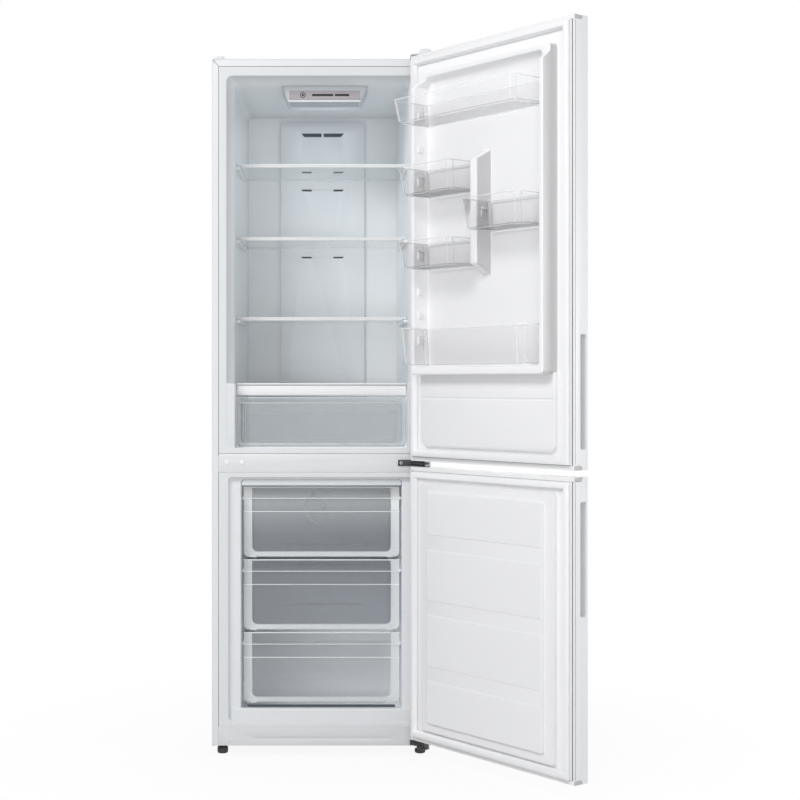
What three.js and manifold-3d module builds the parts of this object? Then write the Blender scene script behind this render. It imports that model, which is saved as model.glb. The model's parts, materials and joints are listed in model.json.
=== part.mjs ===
// A free-standing refrigerator with its freezer at the bottom, both doors standing open.
//
// Millimetres, +Z up. Every piece is drawn in the cabinet's frame: X = 0 in the middle of the
// cabinet's width, Y = 0 on its front face and growing to the back, Z = 0 on the floor. A door is
// drawn shut and then turned about its hinge pins. The last lines move the whole refrigerator so
// that its origin lies on the floor under the left front foot.

import * as THREE from 'three';
import { mergeVertices } from 'three/addons/utils/BufferGeometryUtils.js';
import Module from 'manifold-3d';

const wasm = await Module();
wasm.setup();

// ---------------------------------------------------------------------------------------------
// Driving dimensions
// ---------------------------------------------------------------------------------------------

// Walls and clearances shared by all pieces.
const STEEL = 1; // sheet of the case, the door skins and the base
const LINER = 2; // vacuum formed inner liners
const MOULDING = 2.5; // injection moulded walls
const SEAT = 0.3; // gap between two pieces that touch
const SIDES = 16; // sides of a round post

// The case.
const CABINET_WIDTH = 595;
const CABINET_DEPTH = 570;
const CABINET_HEIGHT = 1867; // from its underside to its top
const FLOOR_CLEARANCE = 26; // from the floor to the underside
const SIDE_FLANGE = 17.4; // front return of the side walls
const TOP_FLANGE = 19.6; // front return of the top

// Heights on the front face, one above the other.
const KICK_HEIGHT = 51;
const KICK_SLOT_HALF = 185; // groove in the kick panel's face
const KICK_SLOT_RISE = 16;
const KICK_SLOT_HEIGHT = 7;
const KICK_SLOT_DEPTH = 1.2;
const FREEZER_SILL = 13; // kick panel to the freezer's mouth
const FREEZER_MOUTH_HEIGHT = 665;
const FREEZER_HEAD = 14; // freezer's mouth to the crossbar
const CROSSBAR_HEIGHT = 51.5;
const FRIDGE_SILL = 15.5; // crossbar to the fridge's mouth
const FRIDGE_HEAD = 46; // fridge's mouth to the top of the case

// Fridge compartment.
const FRIDGE_MOUTH_HALF = 257.3;
const FRIDGE_LEAD = 45; // depth over which the mouth narrows
const FRIDGE_LEAD_INSET = 17.3;
const FRIDGE_LEAD_DROP = 15;
const FRIDGE_FLOOR_STEP = 2;
const FRIDGE_REAR_WALL = 75; // compartment's back to the back of the case
const FRIDGE_DRAFT = 2;
const FRIDGE_CORNER = 15;

// Freezer compartment.
const FREEZER_MOUTH_HALF = 252.5;
const FREEZER_LEAD = 14; // depth of the stepped rim that the door's liner enters
const FREEZER_RIM = 2.5; // how far the rim's wall narrows over that depth
const FREEZER_INNER_HALF = 219.5;
const FREEZER_FLOOR_STEP = 17;
const FREEZER_CEILING_STEP = 7;
const FREEZER_REAR_WALL = 100; // compartment's back to the back of the case
const FREEZER_DRAFT = 3;
const FREEZER_CORNER = 10;
const STEP_REACH = 230; // step over the machine compartment, to the back of the case
const STEP_HEIGHT = 262; // top of the machine compartment over the floor
const STEP_INSULATION = 32;

// Shelves, from the cover over the crisper upwards.
const SHELF_FRONT = 125;
const SHELF_REAR = 47; // shelf to the compartment's back
const SHELF_HALF = 237.6;
const SHELF_TRIM_HEIGHT = 7;
const SHELF_TRIM_DEPTH = 25;
const GLASS = 4;
const LOWER_SHELF_RISE = 0.2174; // shares of the height from the crisper's cover to the ceiling
const MIDDLE_SHELF_RISE = 0.4909;
const UPPER_SHELF_RISE = 0.7402;
const LEDGE_REACH = 10; // how far a ledge stands out of the wall
const LEDGE_HEIGHT = 10;

// Crisper drawer and the cover over it.
const CRISPER_FRONT = 50;
const CRISPER_HALF = 232.5;
const CRISPER_HEIGHT = 136;
const CRISPER_REAR = 75; // drawer to the compartment's back
const CRISPER_TUB_INSET = 16;
const CRISPER_LIFT = 4; // height of the rails on the compartment's floor
const RAIL_INNER = 150; // rails from the cabinet's middle
const RAIL_WIDTH = 12;
const COVER_FRONT = 64;
const COVER_FASCIA = 26.5;
const COVER_REAR = 31; // cover to the compartment's back
const COVER_RISE = 11; // cover's top over its fascia

// Freezer drawers.
const DRAWER_FRONT = 45;
const DRAWER_HALF = 215.5;
const DRAWER_HEIGHT = 195;
const DRAWER_PITCH = 200.5;
const DRAWER_LIFT = 24.5; // freezer floor to the lowest drawer
const DRAWER_REAR = 19; // drawers to the evaporator's cover
const LOW_DRAWER_REAR = 15; // lowest drawer to the step behind it
const DRAWER_TUB_INSET = 20;
const DRAWER_RIM_DROP = 28; // drawer's top to its rim
const GRIP_HALF = 158;
const GRIP_DROP = 33;
const GRIP_HEIGHT = 36;
const GRIP_DEPTH = 12;

// Doors, as they are when shut.
const DOOR_THICKNESS = 48;
const DOOR_CLEARANCE = 14; // cabinet face to the door's inner face
const DOOR_GAP = 16.4; // between the two doors
const DOOR_TOP_GAP = 1.5; // door's top under the top of the case
const FREEZER_DOOR_RISE = 26; // underside of the case to the freezer door
const DOOR_OPEN = 128; // degrees, as they stand
const PIN_INSET = 23; // hinge pins from the cabinet's right side
const PIN_FORWARD = 39; // hinge pins in front of the cabinet's face
const PIN_RADIUS = 5;
const PIN_PLAY = 0.6;
const PIN_GRIP = 10; // length of a pin inside a door's end cap
const DOOR_EDGE = 4; // radius of the upright outer edges
const HEM = 6; // skin folded over the inner face
const CAP_HEIGHT = 11;
const CAP_REVEAL = 27; // depth over which an end cap shows at the door's side
const CAP_CORNER = 8;
const GASKET_INSET = 13;
const GASKET_WIDTH = 17;
const GASKET_BEVEL = 7.5; // width of the lip's bevel, which swings past the cabinet's face
const GASKET_BEVEL_DROP = 1.4;

// Raised frame on the fridge door's liner that carries the bins.
const FRAME_INSET = 56;
const FRAME_HEIGHT = 50;
const FRAME_WIDTH = 15;
const FRAME_BOTTOM = 230; // above the door's lower edge
const FRAME_TOP_DROP = 60.5; // below the door's upper edge
const FRAME_TOP_HEIGHT = 25;
const FRAME_SHOULDER = 42; // length of the sides' lower top end
const FRAME_CHAMFER = 22;
const FRAME_CORNER = 17;
const PANEL_INSET = 52; // shallow panel under the frame
const PANEL_HEIGHT = 12;
const PANEL_BOTTOM = 40;
const FIN_WIDTH = 26;
const FIN_BOTTOM = 0.3183; // shares of the frame's height
const FIN_TOP = 0.713;
const FIN_SLOPE = 26;

// Raised steps on the freezer door's liner.
const FIRST_STEP_INSET = 55;
const FIRST_STEP_HEIGHT = 13.4;
const FIRST_STEP_END = 37.5;
const SECOND_STEP_INSET = 86.5;
const SECOND_STEP_HEIGHT = 22.7;
const SECOND_STEP_END = 61.5;

// Door bins. A rise is a share of the frame's height, from the frame's foot to the bin's floor.
const BIN_WALL = 2;
const BIN_BACK = 7; // clear of the liner
const BIN_SIDE_PLAY = 5; // bin's end wall to the frame's inner wall
const BIN_TAPER = 6;
const LUG_REACH = 3.5;
const LUG_HEIGHT = 20;
const LUG_BACK = 20;
const LUG_DEPTH = 16;
const HOOK_HEIGHT = 5;
const HOOK_DROP = 22; // hooks under the bins' rims
const TOP_BIN_RISE = 0.8176;
const UPPER_BIN_RISE = 0.5852;
const MIDDLE_BIN_RISE = 0.4511;
const LOWER_BIN_RISE = 0.3465;
const BOTTOM_BIN_RISE = 0.0288;
const TOP_BIN_HEIGHT = 62;
const TOP_BIN_DEPTH = 131;
const UPPER_BIN_HEIGHT = 74;
const MIDDLE_BIN_HEIGHT = 78;
const LOWER_BIN_HEIGHT = 70;
const HALF_BIN_DEPTH = 115;
const BOTTOM_BIN_HEIGHT = 99;
const BOTTOM_BIN_DEPTH = 108;

// Recessed handles in the doors' free edges.
const HANDLE_LENGTH = 274;
const HANDLE_WIDTH = 18.6;
const HANDLE_INSET = 20.5; // from the door's inner face
const HANDLE_DEPTH = 24;
const FRIDGE_HANDLE_RISE = 51; // above the door's lower edge
const FREEZER_HANDLE_DROP = 60; // below the door's upper edge

// Hinges.
const HINGE_PLATE = 3;
const HINGE_ARM = 4;
const HINGE_COVER_HEIGHT = 13;
const HINGE_NOSE = 17; // radius of an arm's end round its pin
const MIDDLE_PLATE_LEFT = 66; // of the middle hinge's plate, left of the pins
const SCREW_RADIUS = 4.5;
const SCREW_HEAD = 2;

// Feet and rollers.
const FOOT_INSET = 27.5; // from the cabinet's side
const FOOT_BACK = 29; // from the cabinet's face
const FOOT_RADIUS = 15;
const ROLLER_RADIUS = 15;
const ROLLER_WIDTH = 16;
const ROLLER_BACK = 35; // from the cabinet's back
const ROLLER_INSET = 26;
const AXLE_RADIUS = 3;
const AXLE_PLAY = 0.35;

// Back of the fridge and of the freezer.
const DUCT_HALF = 127;
const DUCT_THICKNESS = 27;
const DUCT_TOP_DROP = 25;
const DUCT_RISE = 24;
const DUCT_BAND = 27; // height of the slanted band at the cover's top
const DUCT_BAND_SLOPE = 10; // how far it leans back
const VENT_HALF = 65;
const VENT_INNER = 33; // inner ends of the short vents, from the cabinet's middle
const COVER_BACK = 66; // evaporator cover's face from the freezer's back wall
const TRIM_DROP = 16; // trim under the freezer's ceiling
const TRIM_DEPTH = 18;
const FAN_RADIUS = 52;
const FAN_DROP = 104; // fan's centre under the freezer's ceiling
const FAN_DEPTH = 22;
const FAN_GAP = 6;

// Machine compartment.
const COMPRESSOR_RADIUS = 72;
const COMPRESSOR_MOUNTS = 12; // height of its rubber mounts
const MACHINE_SHELF = 34; // height of the compressor's plate over the floor
const COVER_SHEET = 2;
const TRAY_HEIGHT = 24;
const TRAY_ROOF_GAP = 22.5; // over the tray, to the compartment's roof
const GRILLE_PITCH = 22;
const GRILLE_SLOT = 9;
const GRILLE_BORDER = 30;

// ---------------------------------------------------------------------------------------------
// Places worked out from them
// ---------------------------------------------------------------------------------------------

const HALF = CABINET_WIDTH / 2;
const BOTTOM = FLOOR_CLEARANCE;
const TOP = BOTTOM + CABINET_HEIGHT;
const KICK_TOP = BOTTOM + KICK_HEIGHT;
const FREEZER_BOTTOM = KICK_TOP + FREEZER_SILL;
const FREEZER_TOP = FREEZER_BOTTOM + FREEZER_MOUTH_HEIGHT;
const CROSSBAR_BOTTOM = FREEZER_TOP + FREEZER_HEAD;
const CROSSBAR_TOP = CROSSBAR_BOTTOM + CROSSBAR_HEIGHT;
const CROSSBAR_MIDDLE = (CROSSBAR_BOTTOM + CROSSBAR_TOP) / 2;
const FRIDGE_BOTTOM = CROSSBAR_TOP + FRIDGE_SILL;
const FRIDGE_TOP = TOP - FRIDGE_HEAD;
const FRIDGE_INNER_HALF = FRIDGE_MOUTH_HALF - FRIDGE_LEAD_INSET;
const FRIDGE_FLOOR = FRIDGE_BOTTOM - FRIDGE_FLOOR_STEP;
const FRIDGE_CEILING = FRIDGE_TOP - FRIDGE_LEAD_DROP;
const FREEZER_FLOOR = FREEZER_BOTTOM + FREEZER_FLOOR_STEP;
const FREEZER_CEILING = FREEZER_TOP - FREEZER_CEILING_STEP;
const FLANGE_EDGE = HALF - SIDE_FLANGE - SEAT; // liners' flanges end inside the case's flange
const BAR_DEPTH = 18; // crossbar and kick panel
const FRIDGE_DEPTH = CABINET_DEPTH - FRIDGE_REAR_WALL;
const FREEZER_DEPTH = CABINET_DEPTH - FREEZER_REAR_WALL;
const STEP_DEPTH = CABINET_DEPTH - STEP_REACH;

const INNER_FACE = -DOOR_CLEARANCE; // a shut door's inner face
const OUTER_FACE = INNER_FACE - DOOR_THICKNESS;
const PIN = { x: HALF - PIN_INSET, y: -PIN_FORWARD };
const FREEZER_DOOR = { bottom: BOTTOM + FREEZER_DOOR_RISE, top: CROSSBAR_MIDDLE - DOOR_GAP / 2 };
const FRIDGE_DOOR = { bottom: CROSSBAR_MIDDLE + DOOR_GAP / 2, top: TOP - DOOR_TOP_GAP };

const CRISPER_BOTTOM = FRIDGE_FLOOR + CRISPER_LIFT;
const CRISPER_DEPTH = FRIDGE_DEPTH - CRISPER_FRONT - CRISPER_REAR;
const COVER_DEPTH = FRIDGE_DEPTH - COVER_FRONT - COVER_REAR;
const COVER_TOP = CRISPER_BOTTOM + CRISPER_HEIGHT + COVER_FASCIA + COVER_RISE;
const SHELF_DEPTH = FRIDGE_DEPTH - SHELF_FRONT - SHELF_REAR;
const shelfBottom = (rise) => COVER_TOP + rise * (FRIDGE_CEILING - COVER_TOP);
const SHELVES = [
  { name: 'lower', bottom: shelfBottom(LOWER_SHELF_RISE) },
  { name: 'middle', bottom: shelfBottom(MIDDLE_SHELF_RISE) },
  { name: 'upper', bottom: shelfBottom(UPPER_SHELF_RISE) },
];
const EVAPORATOR_COVER = FREEZER_DEPTH - COVER_BACK;
const DRAWER_DEPTH = EVAPORATOR_COVER - DRAWER_FRONT - DRAWER_REAR;
const LOW_DRAWER_DEPTH = STEP_DEPTH - DRAWER_FRONT - LOW_DRAWER_REAR;
const DRAWERS = [
  { name: 'lower_freezer_drawer', row: 0, depth: LOW_DRAWER_DEPTH },
  { name: 'middle_freezer_drawer', row: 1, depth: DRAWER_DEPTH },
  { name: 'upper_freezer_drawer', row: 2, depth: DRAWER_DEPTH },
];
const drawerBottom = (row) => FREEZER_FLOOR + DRAWER_LIFT + row * DRAWER_PITCH;
const STEP_TOP = STEP_HEIGHT + STEP_INSULATION;
const FOOT = { x: HALF - FOOT_INSET, y: FOOT_BACK };
const FAN_CENTRE = FREEZER_CEILING - FAN_DROP;
const ARM_EDGE = PIN.x + HINGE_NOSE;
const HINGE_LEVEL = BOTTOM + 1.5; // underside of the bottom hinge's arm
const HINGE_LEFT = PIN.x - 22; // left side of the bottom hinge's plates

const FRAME_FOOT = FRIDGE_DOOR.bottom + FRAME_BOTTOM;
const FRAME_SPAN = FRIDGE_DOOR.top - FRAME_TOP_DROP - FRAME_FOOT;
const upTheFrame = (rise) => FRAME_FOOT + rise * FRAME_SPAN;
const bin = (name, side, rise, height, depth) => ({ name, side, floor: upTheFrame(rise), height, depth });
const BINS = [
  bin('top_door_bin', 'full', TOP_BIN_RISE, TOP_BIN_HEIGHT, TOP_BIN_DEPTH),
  bin('upper_half_bin', 'hinge', UPPER_BIN_RISE, UPPER_BIN_HEIGHT, HALF_BIN_DEPTH),
  bin('middle_half_bin', 'handle', MIDDLE_BIN_RISE, MIDDLE_BIN_HEIGHT, HALF_BIN_DEPTH),
  bin('lower_half_bin', 'hinge', LOWER_BIN_RISE, LOWER_BIN_HEIGHT, HALF_BIN_DEPTH),
  bin('bottom_door_bin', 'full', BOTTOM_BIN_RISE, BOTTOM_BIN_HEIGHT, BOTTOM_BIN_DEPTH),
];

// ---------------------------------------------------------------------------------------------
// Finishes
// ---------------------------------------------------------------------------------------------

const finish = (color, roughness, metalness = 0, opacity = 1) =>
  new THREE.MeshStandardMaterial({ color, roughness, metalness, opacity, transparent: opacity < 1 });

const FINISHES = {
  caseSteel: () => finish(0xe9e9ea, 0.35, 0.1),
  galvanised: () => finish(0xb9bcc0, 0.45, 0.8),
  foam: () => finish(0xe8d9a8, 0.9),
  liner: () => finish(0xe6eaee, 0.3),
  doorLiner: () => finish(0xf5f5f7, 0.3),
  whitePlastic: () => finish(0xededee, 0.4),
  greyPlastic: () => finish(0xc3c5c8, 0.45),
  blackPlastic: () => finish(0x2b2c2e, 0.5),
  gasket: () => finish(0xf2f2f2, 0.6),
  clearPlastic: () => finish(0xdde5ea, 0.12, 0, 0.45),
  glass: () => finish(0xd8e8e4, 0.05, 0, 0.35),
  lens: () => finish(0xb9b4b8, 0.2),
  blackSteel: () => finish(0x2c2d30, 0.4, 0.6),
  zincSteel: () => finish(0xc9cbce, 0.3, 0.9),
  aluminium: () => finish(0xc7cacd, 0.35, 0.9),
  copper: () => finish(0xb87248, 0.3, 0.9),
};

// ---------------------------------------------------------------------------------------------
// Shapes
// ---------------------------------------------------------------------------------------------

function solid(geometry) {
  const bare = new THREE.BufferGeometry();
  bare.setAttribute('position', geometry.getAttribute('position'));
  bare.setIndex(geometry.index);
  const merged = mergeVertices(bare, 1e-4);
  const triangles = Uint32Array.from(merged.index.array);
  const mesh = new wasm.Mesh({
    numProp: 3,
    vertProperties: merged.getAttribute('position').array,
    triVerts: triangles,
  });
  return new wasm.Manifold(mesh);
}

function block([x0, x1], [y0, y1], [z0, z1]) {
  const geometry = new THREE.BoxGeometry(x1 - x0, y1 - y0, z1 - z0);
  return solid(geometry.translate((x0 + x1) / 2, (y0 + y1) / 2, (z0 + z1) / 2));
}

// An outline of [a, b] points, drawn out along an axis from one place to another.
function extruded(outline, [from, to]) {
  const shape = new THREE.Shape(outline.map(([a, b]) => new THREE.Vector2(a, b)));
  return new THREE.ExtrudeGeometry(shape, { depth: to - from, bevelEnabled: false });
}

// Outline of [x, y] points.
function prismUp(outline, z) {
  return solid(extruded(outline, z).translate(0, 0, z[0]));
}

// Outline of [x, z] points.
function prismBack(outline, y) {
  return solid(extruded(outline, y).rotateX(Math.PI / 2).translate(0, y[1], 0));
}

// Outline of [y, z] points.
function prismAcross(outline, x) {
  const turn = new THREE.Matrix4().makeBasis(
    new THREE.Vector3(0, 1, 0),
    new THREE.Vector3(0, 0, 1),
    new THREE.Vector3(1, 0, 0),
  );
  return solid(extruded(outline, x).applyMatrix4(turn).translate(x[0], 0, 0));
}

// A rectangle whose corners are rounded; radii run from the lower left corner anticlockwise.
function roundedOutline([a0, a1], [b0, b1], radii, steps = 3) {
  const corners = [
    { a: a0, b: b0, toA: 1, toB: 1, turn: Math.PI },
    { a: a1, b: b0, toA: -1, toB: 1, turn: 1.5 * Math.PI },
    { a: a1, b: b1, toA: -1, toB: -1, turn: 0 },
    { a: a0, b: b1, toA: 1, toB: -1, turn: 0.5 * Math.PI },
  ];
  return corners.flatMap((corner, index) => {
    const radius = Array.isArray(radii) ? radii[index] : radii;
    if (radius === 0) {
      return [[corner.a, corner.b]];
    }
    const middleA = corner.a + corner.toA * radius;
    const middleB = corner.b + corner.toB * radius;
    return Array.from({ length: steps + 1 }, (_, step) => {
      const angle = corner.turn + (step / steps) * (Math.PI / 2);
      return [middleA + radius * Math.cos(angle), middleB + radius * Math.sin(angle)];
    });
  });
}

// A skin through outlines that all have as many points; place() turns [a, b, at] into [x, y, z].
function lofted(sections, place) {
  const count = sections[0].outline.length;
  const points = sections.flatMap(({ at, outline }) => outline.map(([a, b]) => place(a, b, at)));
  const triangles = [];
  for (let layer = 0; layer < sections.length - 1; layer += 1) {
    for (let index = 0; index < count; index += 1) {
      const next = (index + 1) % count;
      const low = layer * count;
      const high = low + count;
      triangles.push(low + index, low + next, high + next);
      triangles.push(low + index, high + next, high + index);
    }
  }
  const last = (sections.length - 1) * count;
  for (let index = 1; index < count - 1; index += 1) {
    triangles.push(0, index + 1, index);
    triangles.push(last, last + index, last + index + 1);
  }
  return solid(faceOut(points, triangles));
}

// A closed surface whose triangles all face out.
function faceOut(points, triangles) {
  let volume = 0;
  const corners = points.map((point) => new THREE.Vector3(...point));
  for (let index = 0; index < triangles.length; index += 3) {
    const [a, b, c] = triangles.slice(index, index + 3).map((corner) => corners[corner]);
    volume += a.dot(b.clone().cross(c));
  }
  const facing = volume > 0 ? triangles : [...triangles].reverse();
  const geometry = new THREE.BufferGeometry();
  geometry.setAttribute('position', new THREE.Float32BufferAttribute(points.flat(), 3));
  geometry.setIndex(facing);
  return geometry;
}

const alongY = (a, b, at) => [a, at, b];
const alongZ = (a, b, at) => [a, b, at];

function post(x, y, z, radius, sides = SIDES) {
  return turnedPost(x, y, [[0, z[0]], [radius, z[0]], [radius, z[1]], [0, z[1]]], sides);
}

// A round piece on an upright axis, from a profile of [radius, z] points.
function turnedPost(x, y, profile, sides = SIDES) {
  const points = profile.map(([radius, z]) => new THREE.Vector2(radius, z));
  const geometry = new THREE.LatheGeometry(points, sides).rotateX(Math.PI / 2);
  return solid(geometry.translate(x, y, 0));
}

// The same on an axis that runs to the back: profile of [radius, y] points.
function turnedBack(x, z, profile, sides = SIDES) {
  const points = profile.map(([radius, y]) => new THREE.Vector2(radius, y));
  return solid(new THREE.LatheGeometry(points, sides).translate(x, 0, z));
}

function rodBack(x, z, y, radius, sides = SIDES) {
  return turnedBack(x, z, [[0, y[0]], [radius, y[0]], [radius, y[1]], [0, y[1]]], sides);
}

// The same on an axis that runs across: profile of [radius, x] points.
function turnedAcross(y, z, profile, sides = SIDES) {
  const points = profile.map(([radius, x]) => new THREE.Vector2(radius, x));
  const geometry = new THREE.LatheGeometry(points, sides).rotateZ(-Math.PI / 2);
  return solid(geometry.translate(0, y, z));
}

function rodAcross(y, z, x, radius, sides = SIDES) {
  return turnedAcross(y, z, [[0, x[0]], [radius, x[0]], [radius, x[1]], [0, x[1]]], sides);
}

// A tube bent through points.
function bentTube(points, radius, steps, sides = 8) {
  const path = new THREE.CatmullRomCurve3(points.map((point) => new THREE.Vector3(...point)));
  const section = new THREE.Shape().absarc(0, 0, radius, 0, 2 * Math.PI);
  const options = { steps, bevelEnabled: false, extrudePath: path, curveSegments: sides };
  return solid(new THREE.ExtrudeGeometry(section, options));
}

const joined = (solids) => solids.reduce((whole, next) => whole.add(next));

// Both of a left and right pair, from the right one.
const mirrored = (make) => make(1).add(make(-1));

// A range of X on one side of the cabinet, from two distances off its middle.
const sideRange = (side, near, far) => [side * near, side * far].sort((a, b) => a - b);

function toMesh(name, shape, material) {
  const { vertProperties, triVerts } = shape.getMesh();
  const geometry = new THREE.BufferGeometry();
  geometry.setAttribute('position', new THREE.Float32BufferAttribute(vertProperties, 3));
  geometry.setIndex(new THREE.Uint32BufferAttribute(triVerts, 1));
  geometry.computeVertexNormals();
  const mesh = new THREE.Mesh(geometry, material());
  mesh.name = name;
  return mesh;
}

// ---------------------------------------------------------------------------------------------
// Compartments: the space inside each, or that space grown by a wall
// ---------------------------------------------------------------------------------------------

function compartmentSection(at, half, low, high, radius, grow) {
  const outline = roundedOutline([-half - grow, half + grow], [low - grow, high + grow], radius + grow);
  return { at, outline };
}

function fridgeSpace(grow) {
  const back = FRIDGE_DEPTH + grow;
  const backHalf = FRIDGE_INNER_HALF - FRIDGE_DRAFT;
  const corner = FRIDGE_CORNER;
  const mouth = [FRIDGE_MOUTH_HALF, FRIDGE_BOTTOM, FRIDGE_TOP, corner, grow];
  const inner = [FRIDGE_INNER_HALF, FRIDGE_FLOOR, FRIDGE_CEILING, corner, grow];
  const sections = [
    compartmentSection(-STEEL, ...mouth),
    compartmentSection(0, ...mouth),
    compartmentSection(FRIDGE_LEAD, ...inner),
    compartmentSection(back, backHalf, FRIDGE_FLOOR, FRIDGE_CEILING - FRIDGE_DRAFT, corner, grow),
  ];
  return lofted(sections, alongY);
}

function freezerSpace(grow) {
  const back = FREEZER_DEPTH + grow;
  const rimHalf = FREEZER_MOUTH_HALF - FREEZER_RIM;
  const corner = FREEZER_CORNER;
  const mouth = [FREEZER_MOUTH_HALF, FREEZER_BOTTOM, FREEZER_TOP, corner, grow];
  const rimBottom = FREEZER_BOTTOM + FREEZER_RIM;
  const rim = [rimHalf, rimBottom, FREEZER_TOP - FREEZER_RIM, corner, grow];
  const inner = [FREEZER_INNER_HALF, FREEZER_FLOOR, FREEZER_CEILING, corner, grow];
  const backHalf = FREEZER_INNER_HALF - FREEZER_DRAFT;
  const sections = [
    compartmentSection(-STEEL, ...mouth),
    compartmentSection(0, ...mouth),
    compartmentSection(FREEZER_LEAD + grow, ...rim),
    compartmentSection(FREEZER_LEAD + FREEZER_RIM + grow, ...inner),
    compartmentSection(back, backHalf, FREEZER_FLOOR, FREEZER_CEILING, corner, grow),
  ];
  const step = block([-HALF, HALF], [STEP_DEPTH + grow, back + 1], [0, STEP_TOP - grow]);
  return lofted(sections, alongY).subtract(step);
}

// ---------------------------------------------------------------------------------------------
// The case and its liners
// ---------------------------------------------------------------------------------------------

function cabinetShell() {
  const outside = block([-HALF, HALF], [0, CABINET_DEPTH], [BOTTOM, TOP]);
  const wall = HALF - STEEL;
  const inside = block([-wall, wall], [STEEL, CABINET_DEPTH + 1], [0, TOP - STEEL]);
  const edge = HALF - SIDE_FLANGE;
  const front = block([-edge, edge], [-1, STEEL + 1], [0, TOP - TOP_FLANGE]);
  const hingeSlot = block([edge - 1, wall], [-1, STEEL + 1], [0, HINGE_LEVEL + HINGE_ARM + SEAT]);
  return outside.subtract(inside).subtract(front).subtract(hingeSlot);
}

const INSIDE_HALF = HALF - STEEL - SEAT; // pieces that lie between the case's side walls
const INSIDE_TOP = TOP - STEEL - SEAT;

function backPanel() {
  const y = [CABINET_DEPTH - STEEL, CABINET_DEPTH];
  return block([-INSIDE_HALF, INSIDE_HALF], y, [STEP_HEIGHT + SEAT, INSIDE_TOP]);
}

// Bent sheet: floor of the case, front wall and roof of the machine compartment.
function basePan() {
  const front = BAR_DEPTH + SEAT;
  const wall = STEP_DEPTH + STEP_INSULATION;
  const outline = [
    [front, BOTTOM],
    [wall + STEEL, BOTTOM],
    [wall + STEEL, STEP_HEIGHT - STEEL],
    [CABINET_DEPTH, STEP_HEIGHT - STEEL],
    [CABINET_DEPTH, STEP_HEIGHT],
    [wall, STEP_HEIGHT],
    [wall, BOTTOM + STEEL],
    [front, BOTTOM + STEEL],
  ];
  const pan = prismAcross(outline, [-INSIDE_HALF, INSIDE_HALF]);
  const holes = mirrored((side) => post(side * FOOT.x, FOOT.y, [0, BOTTOM + 2], STEM_HOLE));
  return pan.subtract(holes).add(compressorShelf());
}

function cabinetInsulation() {
  const front = LINER + SEAT;
  const back = CABINET_DEPTH - STEEL - SEAT;
  const whole = block([-INSIDE_HALF, INSIDE_HALF], [front, back], [BOTTOM + STEEL + SEAT, INSIDE_TOP]);
  const machineFront = STEP_DEPTH + STEP_INSULATION - SEAT;
  const machine = block([-HALF, HALF], [machineFront, CABINET_DEPTH], [0, STEP_HEIGHT + SEAT]);
  const bar = [0, BAR_DEPTH + SEAT];
  const kick = block([-HALF, HALF], bar, [0, KICK_TOP + SEAT]);
  const crossbar = block([-HALF, HALF], bar, [CROSSBAR_BOTTOM - SEAT, CROSSBAR_TOP + SEAT]);
  const spaces = fridgeSpace(LINER + SEAT).add(freezerSpace(LINER + SEAT));
  const stems = mirrored((side) => post(side * FOOT.x, FOOT.y, [0, KICK_TOP], STEM_HOLE));
  return whole.subtract(machine).subtract(kick).subtract(crossbar).subtract(spaces).subtract(stems);
}

// Ledges along both side walls, cut to the liner's own wall.
function ledges(space, innerHalf, y, tops) {
  const bars = tops.map((top) =>
    mirrored((side) => {
      const x = sideRange(side, innerHalf - LEDGE_REACH, HALF);
      return block(x, y, [top - LEDGE_HEIGHT, top]);
    }),
  );
  return joined(bars).intersect(space(LINER / 2));
}

function fridgeLiner() {
  const flangeZ = [CROSSBAR_TOP + SEAT, TOP - TOP_FLANGE - SEAT];
  const flange = block([-FLANGE_EDGE, FLANGE_EDGE], [0, LINER], flangeZ);
  const front = block([-HALF, HALF], [-2, 0], [0, TOP]);
  const shell = flange.add(fridgeSpace(LINER)).subtract(front).subtract(fridgeSpace(0));
  const shelfY = [SHELF_FRONT - 5, SHELF_FRONT + SHELF_DEPTH + 5];
  const shelfTops = SHELVES.map(({ bottom }) => bottom - SEAT);
  const shelfLedges = ledges(fridgeSpace, FRIDGE_INNER_HALF - FRIDGE_DRAFT, shelfY, shelfTops);
  const coverY = [COVER_FRONT + 14, COVER_FRONT + COVER_DEPTH];
  const coverTops = [COVER_TOP - GLASS - SEAT];
  const coverLedge = ledges(fridgeSpace, FRIDGE_INNER_HALF - FRIDGE_DRAFT, coverY, coverTops);
  const rail = (side) => {
    const x = sideRange(side, RAIL_INNER, RAIL_INNER + RAIL_WIDTH);
    const y = [CRISPER_FRONT + 20, CRISPER_FRONT + CRISPER_DEPTH];
    return block(x, y, [FRIDGE_FLOOR - LINER / 2, CRISPER_BOTTOM - SEAT]);
  };
  return shell.add(shelfLedges).add(coverLedge).add(mirrored(rail));
}

function freezerLiner() {
  const flangeZ = [KICK_TOP + SEAT, CROSSBAR_BOTTOM - SEAT];
  const flange = block([-FLANGE_EDGE, FLANGE_EDGE], [0, LINER], flangeZ);
  const front = block([-HALF, HALF], [-2, 0], [0, TOP]);
  const shell = flange.add(freezerSpace(LINER)).subtract(front).subtract(freezerSpace(0));
  const tops = DRAWERS.map(({ row }) => drawerBottom(row) + DRAWER_HEIGHT - DRAWER_RIM_DROP - SEAT);
  const innerHalf = FREEZER_INNER_HALF - FREEZER_DRAFT;
  return shell.add(ledges(freezerSpace, innerHalf, [DRAWER_FRONT + 15, EVAPORATOR_COVER - 1], tops));
}

function midCrossbar() {
  const ridge = 2.5;
  const outline = [
    [0, CROSSBAR_BOTTOM],
    [BAR_DEPTH, CROSSBAR_BOTTOM],
    [BAR_DEPTH, CROSSBAR_TOP],
    [ridge, CROSSBAR_TOP],
    [0, CROSSBAR_TOP - 4 * ridge],
  ];
  const bar = prismAcross(outline, [-FLANGE_EDGE, FLANGE_EDGE]);
  return joined([bar, ...CAP_PLACES.map(holeCap)]);
}

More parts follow.
